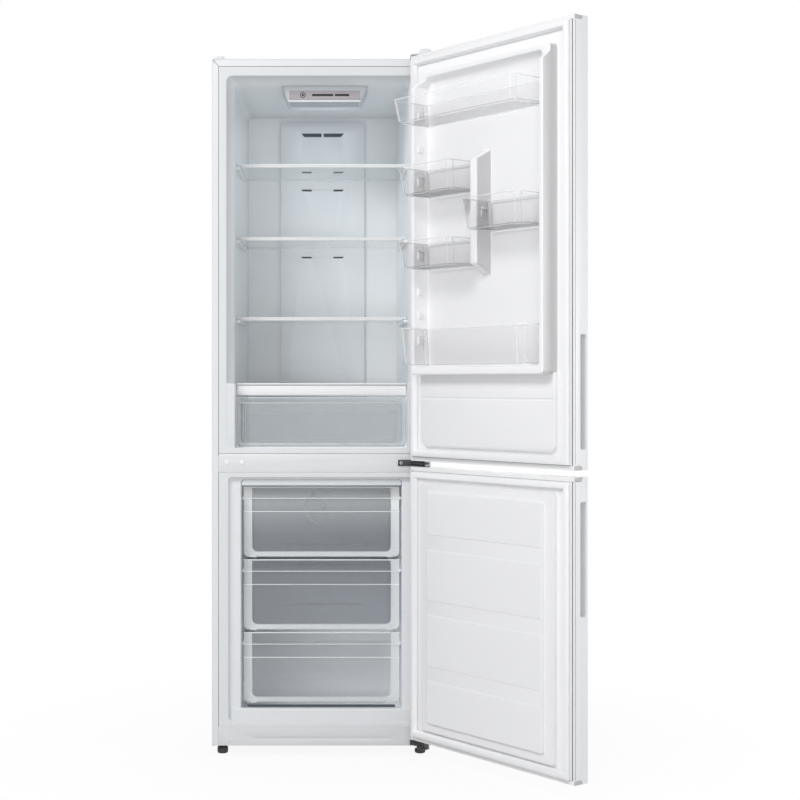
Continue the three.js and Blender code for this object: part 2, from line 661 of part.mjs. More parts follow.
const CAP_RADIUS = 6.5;
const CAP_RISE = 1.5;
const CAP_PLACES = [
  [-FLANGE_EDGE + 22.5, CROSSBAR_MIDDLE + 0.8],
  [-FLANGE_EDGE + 64.5, CROSSBAR_MIDDLE + 0.8],
];
const KICK_CAP = [-FLANGE_EDGE + 33, BOTTOM + 13.7];

function kickPanel() {
  const x = [-FLANGE_EDGE, FLANGE_EDGE];
  const outside = block(x, [0, BAR_DEPTH], [BOTTOM, KICK_TOP]);
  const wall = FLANGE_EDGE - MOULDING;
  const z = [BOTTOM + MOULDING, KICK_TOP - MOULDING];
  const inside = block([-wall, wall], [MOULDING, BAR_DEPTH + 1], z);
  const slotZ = [BOTTOM + KICK_SLOT_RISE, BOTTOM + KICK_SLOT_RISE + KICK_SLOT_HEIGHT];
  const slotOutline = roundedOutline([-KICK_SLOT_HALF, KICK_SLOT_HALF], slotZ, KICK_SLOT_HEIGHT / 2.1);
  const slot = prismBack(slotOutline, [-1, KICK_SLOT_DEPTH]);
  const notchX = [HINGE_LEFT - SEAT, HALF];
  const notch = block(notchX, [-1, BAR_DEPTH + 1], [0, FREEZER_DOOR.bottom - 6]);
  return outside.subtract(inside).subtract(slot).subtract(notch).add(holeCap(KICK_CAP));
}

// Snapped-in cap over a hole that would take a hinge's screw on the other side.
function holeCap([x, z]) {
  const profile = [
    [0, -CAP_RISE],
    [CAP_RADIUS - 1.5, -CAP_RISE],
    [CAP_RADIUS, 0.5],
    [0, 0.5],
  ];
  return turnedBack(x, z, profile);
}

// Cover over the holes that would take the top hinge on the other side.
function topHoleCover() {
  const outline = [
    [2, TOP + SEAT],
    [46, TOP + SEAT],
    [46, TOP + 3],
    [30, TOP + 8.5],
    [2, TOP + 8.5],
  ];
  return prismAcross(outline, [-HALF + 5, -HALF + 34]);
}

// ---------------------------------------------------------------------------------------------
// Inside the fridge compartment
// ---------------------------------------------------------------------------------------------

const PANEL_MIDDLE = 8.5;
const PANEL_TOP_HALF = 119;
const PANEL_LOW_HALF = 103;
const PANEL_Y = 60;
const PANEL_DEPTH = 150;
const PANEL_DROP = 42;
const PANEL_CEILING = FRIDGE_CEILING - 1; // clear of the ceiling's slope at the panel's back
const LENS_HALF = 98;
const LENS_HEIGHT = 22.5;

// Hollow housing under the ceiling; its front leans back and its ends slope.
function controlPanelHousing() {
  const section = (at, half, drop) => ({
    at,
    outline: roundedOutline(
      [PANEL_MIDDLE - half, PANEL_MIDDLE + half],
      [PANEL_Y + drop, PANEL_Y + PANEL_DEPTH - drop],
      10,
    ),
  });
  const ceiling = PANEL_CEILING;
  const low = ceiling - PANEL_DROP;
  const outside = lofted([section(low, PANEL_LOW_HALF, 4), section(ceiling, PANEL_TOP_HALF, 0)], alongZ);
  const wall = MOULDING;
  const inner = [
    section(low + wall, PANEL_LOW_HALF - wall, 4 + wall),
    section(ceiling + 1, PANEL_TOP_HALF - wall, wall),
  ];
  return outside.subtract(lofted(inner, alongZ)).subtract(lensSolid(SEAT));
}

// Clear piece that is the display's window in front and the lamp's diffuser below.
function lensSolid(grow) {
  const low = PANEL_CEILING - PANEL_DROP;
  const half = LENS_HALF + grow;
  const x = [PANEL_MIDDLE - half, PANEL_MIDDLE + half];
  const outline = [
    [PANEL_Y - 1 - grow, low - 1 - grow],
    [PANEL_Y + 75 + grow, low - 1 - grow],
    [PANEL_Y + 75 + grow, low + 1.5 + grow],
    [PANEL_Y + 6 + grow, low + 1.5 + grow],
    [PANEL_Y + 4.5 + grow, low + 7 + LENS_HEIGHT + grow],
    [PANEL_Y - 1 - grow, low + 7 + LENS_HEIGHT + grow],
  ];
  return prismAcross(outline, x);
}

function controlPanelLens() {
  return lensSolid(0);
}

function shelfGlass({ bottom }) {
  const inset = 6;
  const x = [-SHELF_HALF + inset, SHELF_HALF - inset];
  const y = [SHELF_FRONT + inset, SHELF_FRONT + SHELF_DEPTH - inset];
  const low = bottom + (SHELF_TRIM_HEIGHT - GLASS) / 2;
  return block(x, y, [low, low + GLASS]);
}

// Front and rear trims with the side strips that join them, round the edge of the glass.
function shelfTrim(shelf) {
  const { bottom } = shelf;
  const z = [bottom, bottom + SHELF_TRIM_HEIGHT];
  const y = [SHELF_FRONT, SHELF_FRONT + SHELF_DEPTH];
  const outside = block([-SHELF_HALF, SHELF_HALF], y, z);
  const reach = 9;
  const hole = block(
    [-SHELF_HALF + reach, SHELF_HALF - reach],
    [y[0] + SHELF_TRIM_DEPTH, y[1] - SHELF_TRIM_DEPTH * 0.6],
    [bottom - 1, z[1] + 1],
  );
  const inset = 6 - SEAT;
  const low = bottom + (SHELF_TRIM_HEIGHT - GLASS) / 2 - SEAT;
  const glassBed = block(
    [-SHELF_HALF + inset, SHELF_HALF - inset],
    [y[0] + inset, y[1] - inset],
    [low, low + GLASS + 2 * SEAT],
  );
  return outside.subtract(hole).subtract(glassBed);
}

function crisperCoverGlass() {
  const x = [-CRISPER_HALF, CRISPER_HALF];
  const y = [COVER_FRONT + 14, COVER_FRONT + COVER_DEPTH];
  return block(x, y, [COVER_TOP - GLASS, COVER_TOP]);
}

// Fascia over the drawer's front with the lip that holds the glass.
function crisperCoverTrim() {
  const x = [-CRISPER_HALF - 1, CRISPER_HALF + 1];
  const top = COVER_TOP - 7.5;
  const fascia = block(x, [COVER_FRONT, COVER_FRONT + MOULDING], [top - COVER_FASCIA, top]);
  const web = block(x, [COVER_FRONT, COVER_FRONT + 13.5], [top - MOULDING, top]);
  const neck = block(x, [COVER_FRONT + 8, COVER_FRONT + 13.5], [top - MOULDING, COVER_TOP]);
  const lip = block(x, [COVER_FRONT - 2, COVER_FRONT + 13.5], [COVER_TOP - GLASS, COVER_TOP]);
  return joined([fascia, web, neck, lip]);
}

// An open tub: outer and inner skins narrow towards the floor.
function tub({ x, y, z, taper, wall, corner }) {
  const layer = (at, inset, shrink) => ({
    at,
    outline: roundedOutline(
      [x[0] + inset + shrink, x[1] - inset - shrink],
      [y[0] + shrink, y[1] - shrink - inset],
      corner - shrink / 2,
    ),
  });
  const foot = corner * 0.35;
  const outer = [
    layer(z[0], taper + foot, 0),
    layer(z[0] + foot, taper, 0),
    layer(z[1], 0, 0),
  ];
  const inner = [
    layer(z[0] + wall, taper + foot, wall),
    layer(z[0] + wall + foot, taper, wall),
    layer(z[1] + 1, 0, wall),
  ];
  return lofted(outer, alongZ).subtract(lofted(inner, alongZ));
}

function crisperDrawer() {
  const half = CRISPER_HALF - CRISPER_TUB_INSET;
  const top = CRISPER_BOTTOM + CRISPER_HEIGHT;
  const back = CRISPER_FRONT + CRISPER_DEPTH;
  const bowl = tub({
    x: [-half, half],
    y: [CRISPER_FRONT, back],
    z: [CRISPER_BOTTOM, top - 12],
    taper: 6,
    wall: MOULDING,
    corner: 14,
  });
  const face = roundedOutline([-CRISPER_HALF, CRISPER_HALF], [CRISPER_BOTTOM, top], [12, 12, 2, 2]);
  const front = prismBack(face, [CRISPER_FRONT, CRISPER_FRONT + MOULDING]);
  const gripZ = top - 17;
  const gripX = [-CRISPER_HALF + 2, CRISPER_HALF - 2];
  const grip = block(gripX, [CRISPER_FRONT, CRISPER_FRONT + 14], [gripZ - 2, gripZ]);
  const rimZ = [top - 14.5, top - 12];
  const rim = (side) => block(sideRange(side, half - 3, half + 9), [CRISPER_FRONT + 1, back], rimZ);
  return joined([bowl, front, grip, mirrored(rim)]);
}

// Hollow duct cover on the fridge's back wall, open to the wall.
function fridgeDuctCover() {
  const back = FRIDGE_DEPTH - SEAT;
  const y = [back - DUCT_THICKNESS, back];
  const z = [FRIDGE_FLOOR + DUCT_RISE, FRIDGE_CEILING - DUCT_TOP_DROP];
  const outline = (inset) => {
    const x = [-DUCT_HALF + inset, DUCT_HALF - inset];
    return roundedOutline(x, [z[0] + inset, z[1] - inset], [2, 2, 12 - inset, 12 - inset]);
  };
  const slant = (shift) => {
    const front = y[0] + shift;
    const foot = z[1] - DUCT_BAND;
    const wedge = [[y[0] - 1, foot], [front, foot], [front + DUCT_BAND_SLOPE, z[1] + 1], [y[0] - 1, z[1] + 1]];
    return prismAcross(wedge, [-DUCT_HALF - 1, DUCT_HALF + 1]);
  };
  const outside = prismBack(outline(0), y).subtract(slant(0));
  const hollow = prismBack(outline(MOULDING), [y[0] + MOULDING, y[1] + 1]);
  const inside = hollow.subtract(slant(1.1 * MOULDING));
  const vents = VENT_ROWS.flatMap(({ drop, height, inner }) =>
    [1, -1].map((side) => {
      const top = z[1] - drop * (z[1] - z[0]);
      const outline2 = [
        [side * inner, top],
        [side * inner, top - height],
        [side * (VENT_HALF - height * 0.9), top - height],
        [side * VENT_HALF, top],
      ];
      return prismBack(side > 0 ? outline2 : outline2.reverse(), [y[0] - 1, y[0] + MOULDING + 1]);
    }),
  );
  return outside.subtract(inside).subtract(joined(vents));
}

// Each row's drop is a share of the cover's height, from the cover's top.
const VENT_ROWS = [
  { drop: 0.04, height: 11, inner: 3 },
  { drop: 0.1623, height: 5, inner: VENT_INNER },
  { drop: 0.2192, height: 6, inner: VENT_INNER },
  { drop: 0.4341, height: 5, inner: VENT_INNER },
];

// ---------------------------------------------------------------------------------------------
// Inside the freezer compartment
// ---------------------------------------------------------------------------------------------

function freezerTopTrim() {
  const half = FREEZER_INNER_HALF - 1;
  const z = [FREEZER_CEILING - TRIM_DROP, FREEZER_CEILING - SEAT];
  const front = FREEZER_LEAD + FREEZER_RIM + 1;
  const corners = [5, 5, FREEZER_CORNER, FREEZER_CORNER];
  const bar = prismBack(roundedOutline([-half, half], z, corners), [front, front + TRIM_DEPTH]);
  const innerX = [-half + FREEZER_CORNER, half - FREEZER_CORNER];
  const inside = block(innerX, [front + MOULDING, front + TRIM_DEPTH + 1], [z[0] + MOULDING, z[1] + 1]);
  return bar.subtract(inside);
}

function freezerDrawer({ row, depth }) {
  const bottom = drawerBottom(row);
  const top = bottom + DRAWER_HEIGHT;
  const half = DRAWER_HALF - DRAWER_TUB_INSET;
  const y = [DRAWER_FRONT, DRAWER_FRONT + depth];
  const rimTop = top - DRAWER_RIM_DROP + MOULDING;
  const bowl = tub({ x: [-half, half], y, z: [bottom + 6, rimTop], taper: 6, wall: MOULDING, corner: 16 });
  const face = roundedOutline([-DRAWER_HALF, DRAWER_HALF], [bottom, top], [13, 13, 2, 2]);
  const plate = prismBack(face, [y[0], y[0] + MOULDING]);
  const gripZ = [top - GRIP_DROP - GRIP_HEIGHT, top - GRIP_DROP];
  const pocket = block(
    [-GRIP_HALF - MOULDING, GRIP_HALF + MOULDING],
    [y[0], y[0] + GRIP_DEPTH + MOULDING],
    [gripZ[0] - MOULDING, gripZ[1] + MOULDING],
  );
  const hollow = block([-GRIP_HALF, GRIP_HALF], [y[0] - 1, y[0] + GRIP_DEPTH], gripZ);
  const rim = (side) => {
    const x = sideRange(side, half - 3, DRAWER_HALF - 2);
    return block(x, [y[0] + 1, y[1] - 12], [rimTop - MOULDING, rimTop]);
  };
  return joined([bowl, plate, pocket, mirrored(rim)]).subtract(hollow);
}

// Cover in front of the evaporator, with the fan's ring, air slots and the motor's seat.
function evaporatorCover() {
  const half = FREEZER_INNER_HALF - FREEZER_DRAFT - SEAT;
  const y = [EVAPORATOR_COVER, EVAPORATOR_COVER + MOULDING];
  const z = [STEP_TOP + SEAT, FREEZER_CEILING - SEAT];
  const plate = prismBack(roundedOutline([-half, half], z, [1, 1, 9, 9]), y);
  const flangeY = [y[0], FREEZER_DEPTH - SEAT];
  const legs = mirrored((side) => block(sideRange(side, half - 4, half - 1.5), flangeY, [z[0], z[1] - 14]));
  const opening = rodBack(0, FAN_CENTRE, [y[0] - 1, y[1] + 1], FAN_RADIUS + 3, 24);
  const bars = [0, 1, 2].map((turn) => {
    const bar = block([-FAN_RADIUS - 4, FAN_RADIUS + 4], y, [-1.5, 1.5]);
    return bar.rotate([0, turn * 60, 0]).translate([0, 0, FAN_CENTRE]);
  });
  const slots = [0, 1, 2, 3].map((row) => {
    const top = FAN_CENTRE - 110 - row * 60;
    return block([-120, 120], [y[0] - 1, y[1] + 1], [top - 6, top]);
  });
  return joined([plate.subtract(opening), legs, ...bars]).subtract(joined(slots));
}

// Motor on the freezer's back wall with the fan's shaft standing out of its front.
function fanMotor() {
  const back = FREEZER_DEPTH - SEAT;
  const front = EVAPORATOR_COVER + MOULDING + FAN_GAP;
  const profile = [
    [0, front],
    [AXLE_RADIUS, front],
    [AXLE_RADIUS, front + FAN_DEPTH + 3],
    [17, front + FAN_DEPTH + 3],
    [20, front + FAN_DEPTH + 6],
    [20, back],
    [0, back],
  ];
  const foot = block([-38, 38], [back - 4, back], [FAN_CENTRE - 10, FAN_CENTRE + 10]);
  return turnedBack(0, FAN_CENTRE, profile).add(foot);
}

function evaporatorFan() {
  const front = EVAPORATOR_COVER + MOULDING + FAN_GAP;
  const hub = rodBack(0, FAN_CENTRE, [front, front + FAN_DEPTH], 14);
  const blades = [0, 1, 2, 3, 4].map((index) => {
    const blade = block([11, FAN_RADIUS], [-1, 1], [-13, 13]);
    const pitched = blade.rotate([55, 0, 0]).rotate([0, index * 72, 0]);
    return pitched.translate([0, front + FAN_DEPTH / 2, FAN_CENTRE]);
  });
  const bore = rodBack(0, FAN_CENTRE, [front - 1, front + FAN_DEPTH + 1], AXLE_RADIUS + AXLE_PLAY);
  return joined([hub, ...blades]).subtract(bore);
}

// Finned block: fins on a slab of tubes.
function evaporator() {
  const y = [EVAPORATOR_COVER + MOULDING + 6, FREEZER_DEPTH - SEAT];
  const z = [STEP_TOP + 12, FAN_CENTRE - 70];
  const middle = (y[0] + y[1]) / 2;
  const core = block([-180, 180], [middle - 9, middle + 9], [z[0] + 8, z[1] - 8]);
  const fins = Array.from({ length: 13 }, (_, index) => {
    const x = -174 + index * 29;
    return block([x - 1, x + 1], y, z);
  });
  return joined([core, ...fins]);
}

// ---------------------------------------------------------------------------------------------
// Machine compartment
// ---------------------------------------------------------------------------------------------

const COMPRESSOR_X = -70;
const COMPRESSOR_Y = CABINET_DEPTH - 95;
const PLATE_TOP = MACHINE_SHELF + 1.5;
const COMPRESSOR_FOOT = PLATE_TOP + COMPRESSOR_MOUNTS;
const TRAY_FLOOR = STEP_HEIGHT - TRAY_ROOF_GAP - TRAY_HEIGHT;
const COMPRESSOR_HEIGHT = TRAY_FLOOR - COMPRESSOR_FOOT;

function compressor() {
  const low = COMPRESSOR_FOOT;
  const radius = COMPRESSOR_RADIUS;
  const shell = turnedPost(COMPRESSOR_X, COMPRESSOR_Y, [
    [0, low],
    [radius * 0.7, low],
    [radius, low + 28],
    [radius, low + COMPRESSOR_HEIGHT - 55],
    [radius * 0.75, low + COMPRESSOR_HEIGHT - 15],
    [radius * 0.3, low + COMPRESSOR_HEIGHT],
    [0, low + COMPRESSOR_HEIGHT],
  ], 24);
  const footX = [COMPRESSOR_X - radius - 22, COMPRESSOR_X + radius + 22];
  const strap = block(footX, [COMPRESSOR_Y - 45, COMPRESSOR_Y + 45], [low - 2, low + 2]);
  const box = block(
    [COMPRESSOR_X + radius - 8, COMPRESSOR_X + radius + 34],
    [COMPRESSOR_Y - 28, COMPRESSOR_Y + 28],
    [low + 40, low + 100],
  );
  const mounts = [-1, 1].flatMap((across) =>
    [-1, 1].map((along) => {
      const x = COMPRESSOR_X + across * (radius + 12);
      return post(x, COMPRESSOR_Y + along * 34, [PLATE_TOP + SEAT, low], 9, 12);
    }),
  );
  return joined([shell, strap, box, ...mounts, brazedPipes(low)]);
}

// Suction and discharge pipes, and the drier that is strapped to the compressor's foot.
function brazedPipes(low) {
  const roof = STEP_HEIGHT - STEEL - SEAT;
  const edge = COMPRESSOR_X + COMPRESSOR_RADIUS;
  const pipe = (x, y) =>
    bentTube(
      [
        [edge - 12, COMPRESSOR_Y + y * 0.4, low + 110],
        [edge + 20, COMPRESSOR_Y + y * 0.7, low + 118],
        [x, COMPRESSOR_Y + y, low + 150],
        [x, COMPRESSOR_Y + y, roof],
      ],
      PIPE_RADIUS,
      16,
    );
  const drierX = edge + 60;
  const drier = turnedPost(drierX, COMPRESSOR_Y, [
    [0, low - 1],
    [4, low - 1],
    [9.5, low + 8],
    [9.5, low + 88],
    [PIPE_RADIUS, low + 100],
    [PIPE_RADIUS, roof],
    [0, roof],
  ], 12);
  const strap = block([edge, drierX + 4], [COMPRESSOR_Y - 8, COMPRESSOR_Y + 8], [low - 2, low + 2]);
  return joined([pipe(edge + 40, -34), pipe(edge + 40, 34), drier, strap]);
}

// Plate welded across the compartment's floor; its turned down ends carry the rollers' axles.
function compressorShelf() {
  const y = [STEP_DEPTH + STEP_INSULATION, CABINET_DEPTH - 6];
  const plate = block([-INSIDE_HALF, INSIDE_HALF], y, [MACHINE_SHELF, PLATE_TOP]);
  const axleY = CABINET_DEPTH - ROLLER_BACK;
  const roller = HALF - ROLLER_INSET;
  const cheek = (side) => (offset) => {
    const x = sideRange(side, roller + offset, roller + offset + 2);
    return block(x, [axleY - 14, axleY + 14], [ROLLER_RADIUS - 6, MACHINE_SHELF]);
  };
  const gap = ROLLER_WIDTH / 2 + 1;
  const sideParts = mirrored((side) => {
    const axleX = sideRange(side, roller - gap - 2, roller + gap + 2);
    const axle = rodAcross(axleY, ROLLER_RADIUS, axleX, AXLE_RADIUS, 12);
    return joined([cheek(side)(-gap - 2), cheek(side)(gap), axle]);
  });
  return plate.add(sideParts);
}

function rearRoller(side) {
  const x = side * (HALF - ROLLER_INSET);
  const y = CABINET_DEPTH - ROLLER_BACK;
  const half = ROLLER_WIDTH / 2;
  const tyre = rodAcross(y, ROLLER_RADIUS, [x - half, x + half], ROLLER_RADIUS, 24);
  const bore = rodAcross(y, ROLLER_RADIUS, [x - half - 1, x + half + 1], AXLE_RADIUS + AXLE_PLAY, 12);
  return tyre.subtract(bore);
}

// Shallow tray on top of the compressor where the melt water dries.
function evaporationTray() {
  const low = TRAY_FLOOR + SEAT;
  const reach = COMPRESSOR_RADIUS + 13;
  const x = [COMPRESSOR_X - reach, COMPRESSOR_X + reach];
  const y = [COMPRESSOR_Y - reach + 15, COMPRESSOR_Y + reach - 23];
  return tub({ x, y, z: [low, low + TRAY_HEIGHT], taper: 3, wall: MOULDING, corner: 12 });
}

const PIPE_RADIUS = 4;

// Rear grille over the machine compartment, with the mains lead's gland in its corner.
function machineCover() {
  const half = INSIDE_HALF - SEAT;
  const y = [CABINET_DEPTH - COVER_SHEET - 1, CABINET_DEPTH - 1];
  const z = [MACHINE_SHELF + 6, STEP_HEIGHT - STEEL - SEAT];
  const plate = block([-half, half], y, z);
  const rows = Math.floor((z[1] - z[0] - 2 * GRILLE_BORDER) / GRILLE_PITCH);
  const slots = Array.from({ length: rows }, (_, row) => {
    const low = z[0] + GRILLE_BORDER + row * GRILLE_PITCH;
    const x = (side) => sideRange(side, 12, half - 2 * GRILLE_BORDER);
    return mirrored((side) => block(x(side), [y[0] - 1, y[1] + 1], [low, low + GRILLE_SLOT]));
  });
  const gland = turnedBack(half - 28, z[0] + 20, [
    [5, y[0] - 10],
    [9, y[0] - 10],
    [9, y[1]],
    [12, y[1]],
    [12, y[1] + 1],
    [9, y[1] + 8],
    [5, y[1] + 8],
    [5, y[0] - 10],
  ]);
  const glandBore = rodBack(half - 28, z[0] + 20, [y[0] - 1, y[1] + 1], 8);
  const foot = block([-half, half], [y[0] - 8, y[1]], [PLATE_TOP + SEAT, z[0] + 2]);
  return plate.subtract(joined(slots)).subtract(glandBore).add(gland).add(foot);
}

// ---------------------------------------------------------------------------------------------
// Hinges, screws and feet
// ---------------------------------------------------------------------------------------------

const STEM_RADIUS = 6;
const STEM_HOLE = STEM_RADIUS + 0.6;
const STEM_TOP = 20; // above the underside of the case

// Flat arm from the cabinet to a round nose about the pins, as an [x, y] outline.
function armOutline(left, back) {
  const nose = Array.from({ length: 9 }, (_, step) => {
    const angle = Math.PI + (step / 8) * Math.PI;
    return [PIN.x + HINGE_NOSE * Math.cos(angle), PIN.y + HINGE_NOSE * Math.sin(angle)];
  });
  return [[left, back], [left, -HINGE_PLATE - 8], ...nose, [ARM_EDGE, back]];
}

function topHinge() {
  const z = [TOP + SEAT, TOP + SEAT + HINGE_PLATE];
  const plate = prismUp(armOutline(PIN.x - 62, 64), z);
  const pin = post(PIN.x, PIN.y, [FRIDGE_DOOR.top - PIN_GRIP, z[0] + 1], PIN_RADIUS);
  return plate.add(pin);
}

// Low hollow cover on the top hinge's plate, its top edges sloped.
function topHingeCover() {
  const low = TOP + HINGE_PLATE + 2 * SEAT;
  const high = low + HINGE_COVER_HEIGHT;
  const outline = (shrink) =>
    roundedOutline(
      [PIN.x - 11.5 + shrink, HALF - 1.5 - shrink],
      [PIN.y - HINGE_NOSE + shrink, 34 - shrink],
      8 - shrink / 2,
    );
  const shell = lofted(
    [
      { at: low, outline: outline(0) },
      { at: high - 3, outline: outline(1) },
      { at: high, outline: outline(4) },
    ],
    alongZ,
  );
  const hollow = lofted(
    [
      { at: low - 1, outline: outline(2) },
      { at: high - 4, outline: outline(3) },
      { at: high - 2, outline: outline(5) },
    ],
    alongZ,
  );
  return shell.subtract(hollow);
}

function middleHinge() {
  const armZ = [CROSSBAR_MIDDLE - HINGE_ARM / 2, CROSSBAR_MIDDLE + HINGE_ARM / 2];
  const plateX = [PIN.x - MIDDLE_PLATE_LEFT, FLANGE_EDGE];
  const plateZ = [CROSSBAR_MIDDLE - 8.5, CROSSBAR_MIDDLE + 8.5];
  const plate = block(plateX, [-SEAT - HINGE_PLATE, -SEAT], plateZ);
  const arm = prismUp(armOutline(PIN.x - 34, -SEAT - 1), armZ);
  const pinZ = [FREEZER_DOOR.top - PIN_GRIP, FRIDGE_DOOR.bottom + PIN_GRIP];
  const pin = post(PIN.x, PIN.y, pinZ, PIN_RADIUS);
  return joined([plate, arm, pin]);
}

// Plate under the cabinet, stepped up through the kick panel's notch to a forked front.
function bottomHinge() {
  const z = [HINGE_LEVEL, HINGE_LEVEL + HINGE_ARM];
  const under = [BOTTOM - HINGE_ARM - SEAT, BOTTOM - SEAT];
  const x = [HINGE_LEFT, ARM_EDGE];
  const backPlate = block(x, [BAR_DEPTH - 6, 62], under);
  const riser = block(x, [BAR_DEPTH - 6, BAR_DEPTH - 2], [under[0], z[1]]);
  const shelf = block(x, [-SEAT - HINGE_PLATE, BAR_DEPTH - 2], z);
  const forkGap = block([HINGE_LEFT + 6, PIN.x - 4.5], [-20, BAR_DEPTH - 9], [0, KICK_TOP]);
  const ear = block([HINGE_LEFT - 12, HINGE_LEFT + 6], [-SEAT - HINGE_PLATE, -SEAT], [z[0], z[0] + 14]);
  const earScrew = turnedBack(HINGE_LEFT - 6, z[0] + 9, [
    [0, -HINGE_PLATE - SCREW_HEAD],
    [SCREW_RADIUS - 1.5, -HINGE_PLATE - SCREW_HEAD],
    [SCREW_RADIUS - 0.5, -HINGE_PLATE],
    [0, -HINGE_PLATE],
  ], 12);
  const arm = prismUp(armOutline(PIN.x - 4.5, 1), z);
  const stem = post(FOOT.x, FOOT.y, [0, BOTTOM + 2], STEM_HOLE);
  const pin = post(PIN.x, PIN.y, [z[0], FREEZER_DOOR.bottom + PIN_GRIP], PIN_RADIUS);
  const plates = joined([backPlate, riser, shelf.subtract(forkGap), arm, ear, earScrew]);
  return plates.subtract(stem).add(pin);
}

// Screw of the middle hinge: a low head with a cross slot, and its shank in the crossbar.
function middleHingeScrew() {
  const x = PIN.x - MIDDLE_PLATE_LEFT + 9;
  const face = -2 * SEAT - HINGE_PLATE;
  const head = turnedBack(x, CROSSBAR_MIDDLE, [
    [0, face - SCREW_HEAD],
    [SCREW_RADIUS - 1.5, face - SCREW_HEAD],
    [SCREW_RADIUS, face - 1],
    [SCREW_RADIUS, face],
    [0, face],
  ], 12);
  const slot = [face - SCREW_HEAD - 1, face - 1];
  const across = block([x - 2.5, x + 2.5], slot, [CROSSBAR_MIDDLE - 0.5, CROSSBAR_MIDDLE + 0.5]);
  const upright = block([x - 0.5, x + 0.5], slot, [CROSSBAR_MIDDLE - 2.5, CROSSBAR_MIDDLE + 2.5]);
  return head.subtract(across).subtract(upright);
}

// Levelling foot: a hexagonal pad on a round stem.
function frontFoot(side) {
  const x = side * FOOT.x;
  const padTop = side < 0 ? 18 : 12;
  const pad = turnedPost(x, FOOT.y, [
    [0, 0],
    [FOOT_RADIUS - 4, 0],
    [FOOT_RADIUS - 0.5, 3.5],
    [FOOT_RADIUS, padTop - 5],
    [FOOT_RADIUS - 2, padTop],
    [0, padTop],
  ], 12);
  const collar = post(x, FOOT.y, [padTop - 1, BOTTOM - HINGE_ARM - 2 * SEAT], 9, 6);
  const stem = post(x, FOOT.y, [padTop - 1, BOTTOM + STEM_TOP], STEM_RADIUS);
  return joined([pad, collar, stem]);
}

// ---------------------------------------------------------------------------------------------
// Doors, drawn shut
// ---------------------------------------------------------------------------------------------

// Height range of a door without its end caps.
const betweenCaps = (door) => [door.bottom + CAP_HEIGHT + SEAT, door.top - CAP_HEIGHT - SEAT];

function handleRange(door) {
  const low = door.handleRise !== undefined ? door.bottom + door.handleRise : 0;
  const bottom = door.handleDrop !== undefined ? door.top - door.handleDrop - HANDLE_LENGTH : low;
  return [bottom, bottom + HANDLE_LENGTH];
}

// The handle's cup, grown by a distance.
function handleCup(door, grow) {
  const z = handleRange(door);
  const y = [INNER_FACE - HANDLE_INSET - HANDLE_WIDTH, INNER_FACE - HANDLE_INSET];
  const outline = roundedOutline([y[0] - grow, y[1] + grow], [z[0] - grow, z[1] + grow], 3 + grow);
  return prismAcross(outline, [-HALF - 1, -HALF + HANDLE_DEPTH + grow]);
}

// Folded steel skin: outer face, two sides and a narrow hem on the inner face.
function doorSkin(door) {
  const outline = (inset) => roundedOutline(
    [-HALF + inset, HALF - inset],
    [OUTER_FACE + inset, INNER_FACE - inset],
    [DOOR_EDGE - inset, DOOR_EDGE - inset, 0, 0],
  );
  const z = [door.bottom, door.top];
  const inside = [door.bottom - 1, door.top + 1];
  const mouth = block([-HALF + HEM, HALF - HEM], [INNER_FACE - 2, INNER_FACE + 1], inside);
  const skin = prismUp(outline(0), z).subtract(prismUp(outline(STEEL), inside)).subtract(mouth);
  const revealY = INNER_FACE - CAP_REVEAL - SEAT;
  const reach = CAP_HEIGHT + SEAT;
  const notch = (z0, z1, radii) => {
    const shape = roundedOutline([revealY, INNER_FACE + 1], [z0, z1], radii);
    return prismAcross(shape, [-HALF - 1, HALF + 1]);
  };
  const low = notch(door.bottom - 1, door.bottom + reach, [0, 0, 0, CAP_CORNER]);
  const high = notch(door.top - reach, door.top + 1, [CAP_CORNER, 0, 0, 0]);
  return skin.subtract(low).subtract(high).subtract(handleCup(door, STEEL + SEAT));
}

// A plastic cap that closes the skin at one end, bored for the hinge pin.
function doorEndCap(z, radii) {
  const inset = STEEL + SEAT;
  const revealY = INNER_FACE - CAP_REVEAL;
  const front = prismUp(
    roundedOutline([-HALF + inset, HALF - inset], [OUTER_FACE + inset, revealY + 4], [3, 3, 0, 0]),
    z,
  );
  const shown = prismAcross(roundedOutline([revealY, INNER_FACE], z, radii), [-HALF, HALF]);
  const bore = post(PIN.x, PIN.y, [z[0] - 1, z[1] + 1], PIN_RADIUS + PIN_PLAY);
  return front.add(shown).subtract(bore);
}

const doorTopCap = (door) => doorEndCap([door.top - CAP_HEIGHT, door.top], [CAP_CORNER, 0, 0, 0]);

const doorBottomCap = (door) =>
  doorEndCap([door.bottom, door.bottom + CAP_HEIGHT], [0, 0, 0, CAP_CORNER]);

